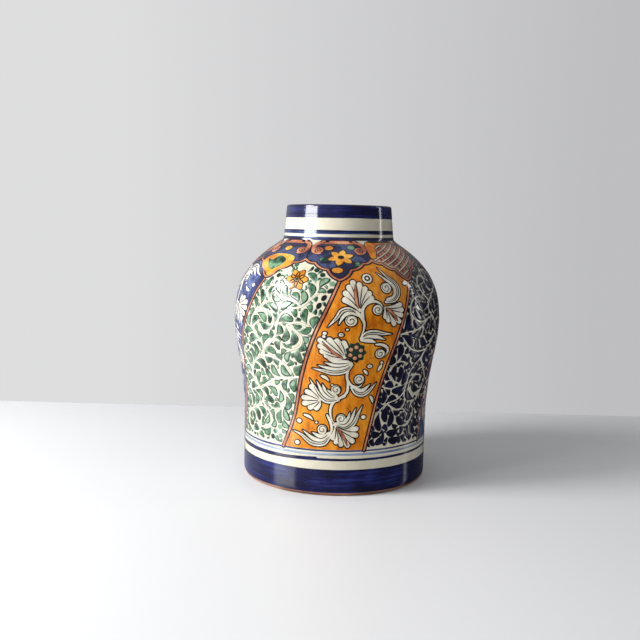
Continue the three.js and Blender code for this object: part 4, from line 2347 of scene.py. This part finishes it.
@dataclass
class Collar:
    """The eight panels: grounds, scalloped borders, curls, flowers, medallions and basket work."""

    ground_height: float = 0.34
    line: float = 0.6
    basket_slant: float = 31.0  # degrees
    basket_reach: float = 42.0  # how far its rows run either side of its middle
    basket_rows: int = 8  # either side of the middle one
    rung_gap: float = 5.4
    brick_gap: float = 5.8
    cap: tuple = ((-19.5, 268), (-21.6, 261), (-21.8, 252), (-21.2, 243.4), (-17.6, 244), (-15, 252),
                  (-12.4, 261), (-4, 265.4), (10, 266.4), (19, 265), (15.6, 269.4), (0, 269.6), (-12, 269.6))
    finishes: ClassVar[dict] = {
        "violet": Palette.VIOLET,
        "basket_ground": Palette.BASKET,
        "cap": Palette.ORANGE,
        "edge_lines": Palette.BROWN,
        "edge_stripes": Palette.SALMON,
        "salmon": Palette.SALMON,
        "orange": Palette.YELLOW,
        "greens": Palette.SPOT_GREEN,
        "ink": Palette.BROWN,
        "brick": Palette.BRICK,
        "rungs": Palette.WHITE,
    }

    def __post_init__(self) -> None:
        """Makes a relief for each colour."""
        self.parts = {name: Relief(f"collar_{name}") for name in self.finishes}

    def tips(self) -> list:
        """Each panel's tip angle and kind, going round from the back."""
        angles = [border.knots[-1][0] for border in (BLUE_GREEN, GREEN_ORANGE, ORANGE_NAVY, NAVY_BLUE)]
        kinds = (CollarKind.MEDALLION, CollarKind.FLOWER, CollarKind.BASKET, CollarKind.FLOWER)
        return [(angle + turn, kind) for turn in HALF_TURNS for angle, kind in zip(angles, kinds)]

    def build(self, shop: Workshop) -> None:
        """Draws every panel and lays each colour.

        Args:
            shop: the workshop.
        """
        tips = self.tips()
        for i, (tip, kind) in enumerate(tips):
            before = tips[i - 1][0] - (360 if i == 0 else 0)
            after = tips[(i + 1) % len(tips)][0] + (360 if i == len(tips) - 1 else 0)
            self.panel(tip, (before + tip) / 2, (tip + after) / 2, kind)
        for name, relief in self.parts.items():
            shop.lay(relief, self.finishes[name])

    def outline(self, tip: float, left: float, right: float) -> Points:
        """The closed outline of a panel, with the rounded corners that leave a wedge between neighbours.

        Args:
            tip: the angle of its tip, in degrees.
            left: the angle of its left side.
            right: the angle of its right side.

        Returns:
            The outline, counterclockwise.
        """
        corner = ((0.35, 248), (0.5, 256), (1.4, 263), (4.2, 268), (8, 270.4))
        rise = [(right - inset, height) for inset, height in corner]
        fall = [(left + inset, height) for inset, height in reversed(corner)]
        top = flowing(places(*rise, ((left + right) / 2, COLLAR_TOP), *fall), gap=2.0)
        return np.vstack([bracket_half(tip, right), top, bracket_half(tip, left)[::-1][:-1]])

    def panel(self, tip: float, left: float, right: float, kind: CollarKind) -> None:
        """Draws one panel with its border.

        Args:
            tip: the angle of its tip, in degrees.
            left: the angle of its left side.
            right: the angle of its right side.
            kind: what it is painted with.
        """
        outline = self.outline(tip, left, right)
        ground = "basket_ground" if kind is CollarKind.BASKET else "violet"
        self.parts[ground].patch(grown(outline, -0.1), self.ground_height, 0.3)
        narrow = CollarSheet(0.0, 78.0)
        edge = np.vstack([bracket_half(tip, left)[::-1], bracket_half(tip, right)[1:]]) * narrow.narrow()
        self.parts["edge_lines"].patch(narrow.spread(stroke(edge, 2.1)), 0.42)
        self.parts["edge_stripes"].patch(narrow.spread(stroke(edge, 0.95)), 0.5)
        first, last = len(bracket_half(tip, right)) - 1, 1 - len(bracket_half(tip, left))
        upper = outline[first:last] * narrow.narrow()
        self.parts["edge_lines"].patch(narrow.spread(stroke(upper, 0.5)), 0.44)
        middle = (left + right) / 2
        if kind is CollarKind.BASKET:
            self.basket_panel(middle, outline)
        elif kind is CollarKind.MEDALLION:
            self.medallion_panel(middle)
        else:
            self.flower_panel(middle)

    def shape(
        self, name: str, sheet: CollarSheet, outline: Points, height: float, line: float | None = None
    ) -> None:
        """One painted shape with a thin dark outline under it.

        Args:
            name: the relief that it goes in.
            sheet: the sheet that it is drawn on.
            outline: its edge, true to size.
            height: how far it stands off the wall.
            line: the outline's width, when it isn't the usual one.
        """
        self.parts[name].patch(sheet.spread(outline), height)
        line = self.line if line is None else line
        if line:
            self.parts["ink"].patch(sheet.spread(grown(outline, line)), height - 0.07, 0.12)

    def curls(self, sheet: CollarSheet, span: float = 12.0) -> None:
        """The salmon bar under the neck, and its two ends curled down and in.

        Args:
            sheet: the sheet that they are drawn on.
            span: how far the bar reaches either side, in degrees.
        """
        self.shape("salmon", sheet, stroke(sheet.path((-span, 267.4), (0, 267.8), (span, 267.4)), 2.6), 0.5)
        for side in (-1, 1):
            bend = ((-1, 268), (4.4, 267.4), (8.2, 262.6), (8.6, 256.4), (6.6, 251.6), (3, 250.2))
            band = sheet.path(*((side * (span + out), height) for out, height in bend))
            self.shape("salmon", sheet, stroke(band, np.linspace(2.5, 2.1, len(band))), 0.5)
            centre = sheet.spot(side * (span + 4.0), 254.2)
            self.shape("salmon", sheet, disc(centre, 4.7), 0.5)
            start = 270 + side * 20
            spiral = curl(centre, 3.6, start, side * 1.5, 0.15)
            self.parts["ink"].patch(sheet.spread(stroke(spiral, 0.5)), 0.56, 0.1)
            top, foot = sheet.spot(side * (span - 0.5), 270), sheet.spot(side * (span + 1.5), 264.6)
            tick = bowed(top, foot, side * 0.2)
            self.parts["ink"].patch(sheet.spread(stroke(tick, 0.4)), 0.57, 0.1)

    def flower(self, sheet: CollarSheet, angle: float, height: float, reach: float, petals: int) -> None:
        """A flower of pointed petals with a dark eye.

        Args:
            sheet: the sheet that it is drawn on.
            angle: its angle from the panel's centre, in degrees.
            height: its length up the outline.
            reach: how long its petals are.
            petals: how many it has.
        """
        middle = sheet.spot(angle, height)
        for i in range(petals):
            side = math.tau * (i + 0.3) / petals
            aim = np.array([math.cos(side), math.sin(side)])
            petal = spaced(np.array([middle + aim * reach * 0.22, middle + aim * reach]), 0.8)
            t = np.linspace(0, 1, len(petal))
            halves = 2.8 * reach / 10 * np.sin(math.pi * (0.12 + 0.84 * t)) ** 0.8
            self.shape("orange", sheet, stroke(petal, halves), 0.5, 0.8)
        self.parts["ink"].patch(sheet.spread(disc(middle, reach * 0.26)), 0.54)

    def flower_panel(self, middle: float) -> None:
        """The violet panel: curls, a six-petal flower and scattered spots.

        Args:
            middle: the angle of its middle, in degrees.
        """
        sheet = CollarSheet(middle)
        self.curls(sheet)
        self.flower(sheet, 1.6, 244.4, 10.8, 6)
        for angle, height, radius in ((-8, 258, 4.1), (-0.6, 227.6, 4.0)):
            self.shape("orange", sheet, disc(sheet.spot(angle, height), radius, 0.85), 0.5)
        for angle, height, radius in ((-9.4, 240.8, 3.8), (12.4, 235.4, 2.8), (10, 259.4, 3.8)):
            self.shape("greens", sheet, disc(sheet.spot(angle, height), radius, 0.9), 0.5)

    def medallion_panel(self, middle: float) -> None:
        """The panel with an angular orange medallion that holds a green leaf.

        Args:
            middle: the angle of its middle, in degrees.
        """
        sheet = CollarSheet(middle)
        self.curls(sheet, 11.0)
        self.shape("orange", sheet, disc(sheet.spot(0.6, 256.4), 4.3, 0.85), 0.5)
        corners = ((-14.4, 233.4), (-13.4, 240.6), (-9, 245.4), (-1, 247.6), (8.6, 246.4), (13.2, 243.4),
                   (14.2, 237.4), (12.4, 231), (6.6, 225.4), (0.2, 218.4), (-5, 223.6), (-11.4, 228))
        self.shape("orange", sheet, sheet.path(*corners, closed=True), 0.5, 0.55)
        blob = ((-9.6, 238.4), (-4.6, 238.4), (-1.4, 243.8), (3.6, 243.4), (8.2, 238.4), (7.0, 232.6),
                (0.6, 225.4), (-5.4, 230.4))
        self.shape("greens", sheet, sheet.path(*blob, closed=True), 0.56, 0.35)

    def basket_panel(self, middle: float, outline: Points) -> None:
        """The basket-work panel: slanting rows of brick strokes between cream rungs, and an orange cap.

        Args:
            middle: the angle of its middle, in degrees.
            outline: its outline on the sheet.
        """
        sheet = CollarSheet(middle, 72.0)
        field_area = grown(outline, -3.4) * sheet.narrow()
        cap = sheet.path(*self.cap, closed=True)
        self.shape("cap", sheet, cap, 0.47)
        cap_area = grown(cap, 1.0)

        def shown(spots: Points) -> np.ndarray:
            """Which spots lie on the basket work."""
            return inside(field_area, spots) & ~inside(cap_area, spots)

        tilt, reach = math.radians(self.basket_slant), self.basket_reach
        slant = np.array([math.cos(tilt), math.sin(tilt)])
        across = np.array([-slant[1], slant[0]])
        for row in range(-self.basket_rows, self.basket_rows + 1):
            start = sheet.spot(0.0, 243) + across * self.rung_gap * row
            line = start + slant * np.arange(-reach, reach + 0.1, 0.7)[:, None]
            runs = np.flatnonzero(np.diff(np.concatenate([[0], shown(line).astype(int), [0]])))
            for a, b in zip(runs[::2], runs[1::2]):
                if b - a < 6:
                    continue
                rung = line[a:b]
                self.parts["rungs"].patch(sheet.spread(stroke(rung, 0.48)), 0.46, 0.15)
                self.parts["ink"].patch(sheet.spread(stroke(rung - across * 1.0, 0.42)), 0.44, 0.08)
            shift = self.brick_gap / 2 * (row % 2)
            for along in np.arange(-reach + shift, reach, self.brick_gap):
                spot = start + slant * along + across * self.rung_gap / 2
                ends = np.array([spot + sign * slant * 0.75 + sign * across * 0.4 for sign in (-1, 1)])
                if shown(ends).all():
                    self.parts["brick"].patch(sheet.spread(stroke(spaced(ends, 0.5), 1.35)), 0.45, 0.2)


@dataclass
class GreenPanelExtras:
    """The yellow flower, the round berries and the dark leaves of the green panels."""

    flower: tuple = (-23.4, 216.4)
    berries: tuple = ((-27, 233), (-12.6, 227.4), (-8.6, 222.0), (-36.6, 219.6), (-2.8, 212.6), (-33.5, 66),
                      (-36.8, 61), (-33, 57), (-38.6, 55), (-35.6, 211.4))
    dark_leaves: tuple = ((-3.6, 205.4, 30), (-6.8, 198.4, 55), (-9.2, 190.8, 60))

    def clear(self) -> tuple:
        """The places that other leaves keep away from, as (angle, length, radius)."""
        flower = ((*self.flower, 11.4), (-20.5, 233.5, 7.5), (-13.0, 236.0, 5.0), (-31.5, 226.0, 4.5))
        berries = tuple((a, v, 2.9) for a, v in self.berries)
        return (*flower, *berries, *((a, v, 3.4) for a, v, _ in self.dark_leaves))

    def build(self, shop: Workshop) -> None:
        """Draws them on both green panels.

        Args:
            shop: the workshop.
        """
        yellow, ink = Relief("green_panel_flowers"), Relief("green_panel_ink")
        berries, dark = Relief("green_panel_berries"), Relief("green_panel_dark_leaves")
        for turn in HALF_TURNS:
            middle = at(self.flower[0] + turn, self.flower[1])
            angle = np.linspace(0, math.tau, 84, endpoint=False)
            rays = np.stack([np.cos(angle), np.sin(angle)], axis=1)
            reach = 9.2 + 1.7 * np.cos(6 * angle)
            yellow.patch(middle + 1.06 * (reach[:, None] * rays), 0.3)
            ink.patch(middle + (1.06 * reach + 1.0)[:, None] * rays, 0.2)
            for i in range(6):
                side = math.tau * (i + 0.5) / 6
                aim = np.array([math.cos(side), math.sin(side)])
                hub = middle + aim * 5.2
                ring = hub + turned_by(disc((0, 0), 2.7, 0.58), math.degrees(side))
                loop = np.vstack([ring, ring[:1]])
                ink.patch(stroke(spaced(loop, 0.6), 0.66), 0.38, 0.08)
            berries.patch(disc(middle, 2.0), 0.42)
            for a, v in self.berries:
                berries.patch(disc(at(a + turn, v), 2.9, 0.9), 0.32)
            for a, v, tilt in self.dark_leaves:
                dark.patch(disc(at(a + turn, v), 3.4, 0.68, tilt), 0.32)
        shop.lay(yellow, Palette.YELLOW)
        shop.lay(ink, Palette.BROWN)
        shop.lay(berries, Palette.SPOT_GREEN)
        shop.lay(dark, Palette.DARK_GREEN)


# ---------------------------------------------------------------------------------------------------------
# The studio


@dataclass(frozen=True)
class SoftLight:
    """A soft rectangular light that faces the vase. Degrees, metres and watts."""

    name: str
    bearing: float  # how far to the right of the front it stands
    rise: float  # how high above level
    distance: float
    size: tuple
    power: float
    target: tuple = (0.0, 0.0, 0.2)

    def build(self) -> None:
        """Sets up the light."""
        data = bpy.data.lights.new(self.name, "AREA")
        data.shape = "RECTANGLE"
        data.size, data.size_y = self.size
        data.energy = self.power
        lamp = placed(self.name, data)
        side, up = math.radians(self.bearing), math.radians(self.rise)
        away = Vector((math.sin(side) * math.cos(up), -math.cos(side) * math.cos(up), math.sin(up)))
        lamp.location = Vector(self.target) + away * self.distance
        lamp.rotation_euler = away.to_track_quat("Z", "Y").to_euler()


@dataclass
class Studio:
    """The table, the grey wall with its painted shade, the window light and the camera. Metres and degrees.
    """

    camera_place: tuple = (0.0, -0.8674, 0.2639)
    pitch_down: float = 6.65
    turn_left: float = 1.186
    roll: float = 1.136
    lens: float = 45.56
    table_reach: float = 2.5
    table_back: float = 0.285
    table_thickness: float = 0.03
    table_roughness: float = 0.42
    table_gloss: float = 0.2  # how much smoother the table is where the glaze mirrors it
    table_tone: tuple = tone(240, 240, 241)
    lights: tuple = (
        SoftLight("window", -61.0, 23.0, 1.5, (0.84, 1.2), 5.2),
        SoftLight("window_sky", -72.0, 31.5, 1.45, (0.46, 0.42), 15.5),
        SoftLight("window_sill", -61.0, 11.0, 1.42, (0.7, 0.34), 9.5),
        SoftLight("side_strip", 98.0, 14.0, 1.5, (0.12, 1.1), 2.2),
    )

    def build(self) -> None:
        """Sets up the whole studio."""
        self.camera()
        self.table()
        self.room()
        for light in self.lights:
            light.build()
        bpy.context.scene.view_settings.view_transform = "Standard"

    def camera(self) -> None:
        """The camera, a little above the lip and tilted down."""
        data = bpy.data.cameras.new("camera")
        data.lens = self.lens
        data.clip_start = 0.01
        camera = placed("camera", data)
        pitch, yaw, roll = (math.radians(x) for x in (self.pitch_down, -self.turn_left, self.roll))
        ahead = Vector((math.cos(pitch) * math.sin(yaw), math.cos(pitch) * math.cos(yaw), -math.sin(pitch)))
        level = Vector((math.cos(yaw), -math.sin(yaw), 0.0))
        above = level.cross(ahead)
        right = level * math.cos(roll) + above * math.sin(roll)
        above = above * math.cos(roll) - level * math.sin(roll)
        rows = [(*axes, place) for *axes, place in zip(right, above, -ahead, self.camera_place)]
        camera.matrix_world = Matrix((*rows, (0, 0, 0, 1)))
        bpy.context.scene.camera = camera

    def table(self) -> None:
        """A pale, slightly glossy table that ends a little way behind the vase.

        As the glaze reflects it, its colour is painted lighter on the left and darker towards the right:
        painted light and shade for the window-lit and the unlit sides of the room.
        """
        mesh = bpy.data.meshes.new("table")
        reach, back = self.table_reach, self.table_back
        corners = [(-reach, -reach, 0), (reach, -reach, 0), (reach, back, 0), (-reach, back, 0)]
        under = [(x, y, -self.table_thickness) for x, y, _ in corners]
        sides = [(0, 1, 2, 3), (7, 6, 5, 4), (0, 4, 5, 1), (1, 5, 6, 2), (2, 6, 7, 3), (3, 7, 4, 0)]
        mesh.from_pydata(corners + under, [], sides)
        table = placed("table", mesh)
        paint, tree, shader = started("table paint")
        across, _, _ = tree.parted(tree.node("ShaderNodeTexCoord").outputs["Object"])
        # painted light and shade: the table as the glaze reflects it is lighter on the left and darker
        # towards the right
        reflected_painted_light = tree.mixed(tree.ranged(across, -0.3, 0.05), tone(225, 226, 230), tone(70, 70, 72))
        in_glaze = tree.node("ShaderNodeLightPath").outputs["Is Glossy Ray"]
        tree.link(tree.mixed(in_glaze, self.table_tone, reflected_painted_light), shader["Base Color"])
        gloss = tree.math("MULTIPLY_ADD", in_glaze, -self.table_gloss, self.table_roughness)
        tree.link(gloss, shader["Roughness"])
        mesh.materials.append(paint)

    def room(self) -> None:
        """The room's own light: paler on the window side; and the grey wall seen behind the vase, painted
        darker towards the right as painted shade.
        """
        world = bpy.data.worlds.new("room")
        world.use_nodes = True
        bpy.context.scene.world = world
        tree = Tree(world.node_tree)
        side, _, rise = tree.parted(tree.node("ShaderNodeTexCoord").outputs["Generated"])
        walls = tree.mixed(tree.ranged(side, -0.85, 0.3), (0.6, 0.61, 0.64, 1), (0.03, 0.03, 0.033, 1))
        ceiling = tree.mixed(tree.ranged(side, -0.9, 0.9), (0.42, 0.43, 0.44, 1), (0.22, 0.22, 0.23, 1))
        glow = tree.mixed(tree.ranged(rise, 0.05, 0.5), walls, ceiling)
        seen = tree.node("ShaderNodeLightPath").outputs["Is Camera Ray"]
        # painted shade: the wall seen behind the vase is darker towards the right
        backdrop_painted_shade = tree.mixed(tree.ranged(side, -0.26, 0.3), tone(222, 222, 223), tone(190, 190, 192))
        tree.link(tree.mixed(seen, glow, backdrop_painted_shade), world.node_tree.nodes["Background"].inputs["Color"])


def main() -> None:
    """Builds the vase and its studio, piece by piece."""
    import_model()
    Studio().build()
    shop = Workshop()
    extras = GreenPanelExtras()
    greenery = Foliage("green", Palette.GREEN, BLUE_GREEN, GREEN_ORANGE, kept_clear=extras.clear())
    night = Foliage(
        "navy",
        Palette.NAVY,
        ORANGE_NAVY,
        NAVY_BLUE,
        flipped=True,
        seed=23,
        halves=(4.2, 3.7, 3.2, 2.7, 2.3, 1.9, 1.5),
        stretches=(4.4, 3.9, 3.3, 2.8),
        gap=-0.5,
        stem_half=0.7,
    )
    paintings = (Grounds(), PanelBorders(), ScrollPanels(), greenery, extras, night, Collar())
    for part in (ThrownBody(), Bands(), *paintings):
        log.info("building %s", type(part).__name__)
        part.build(shop)
    shop.close()


if __name__ == "__main__":
    main()
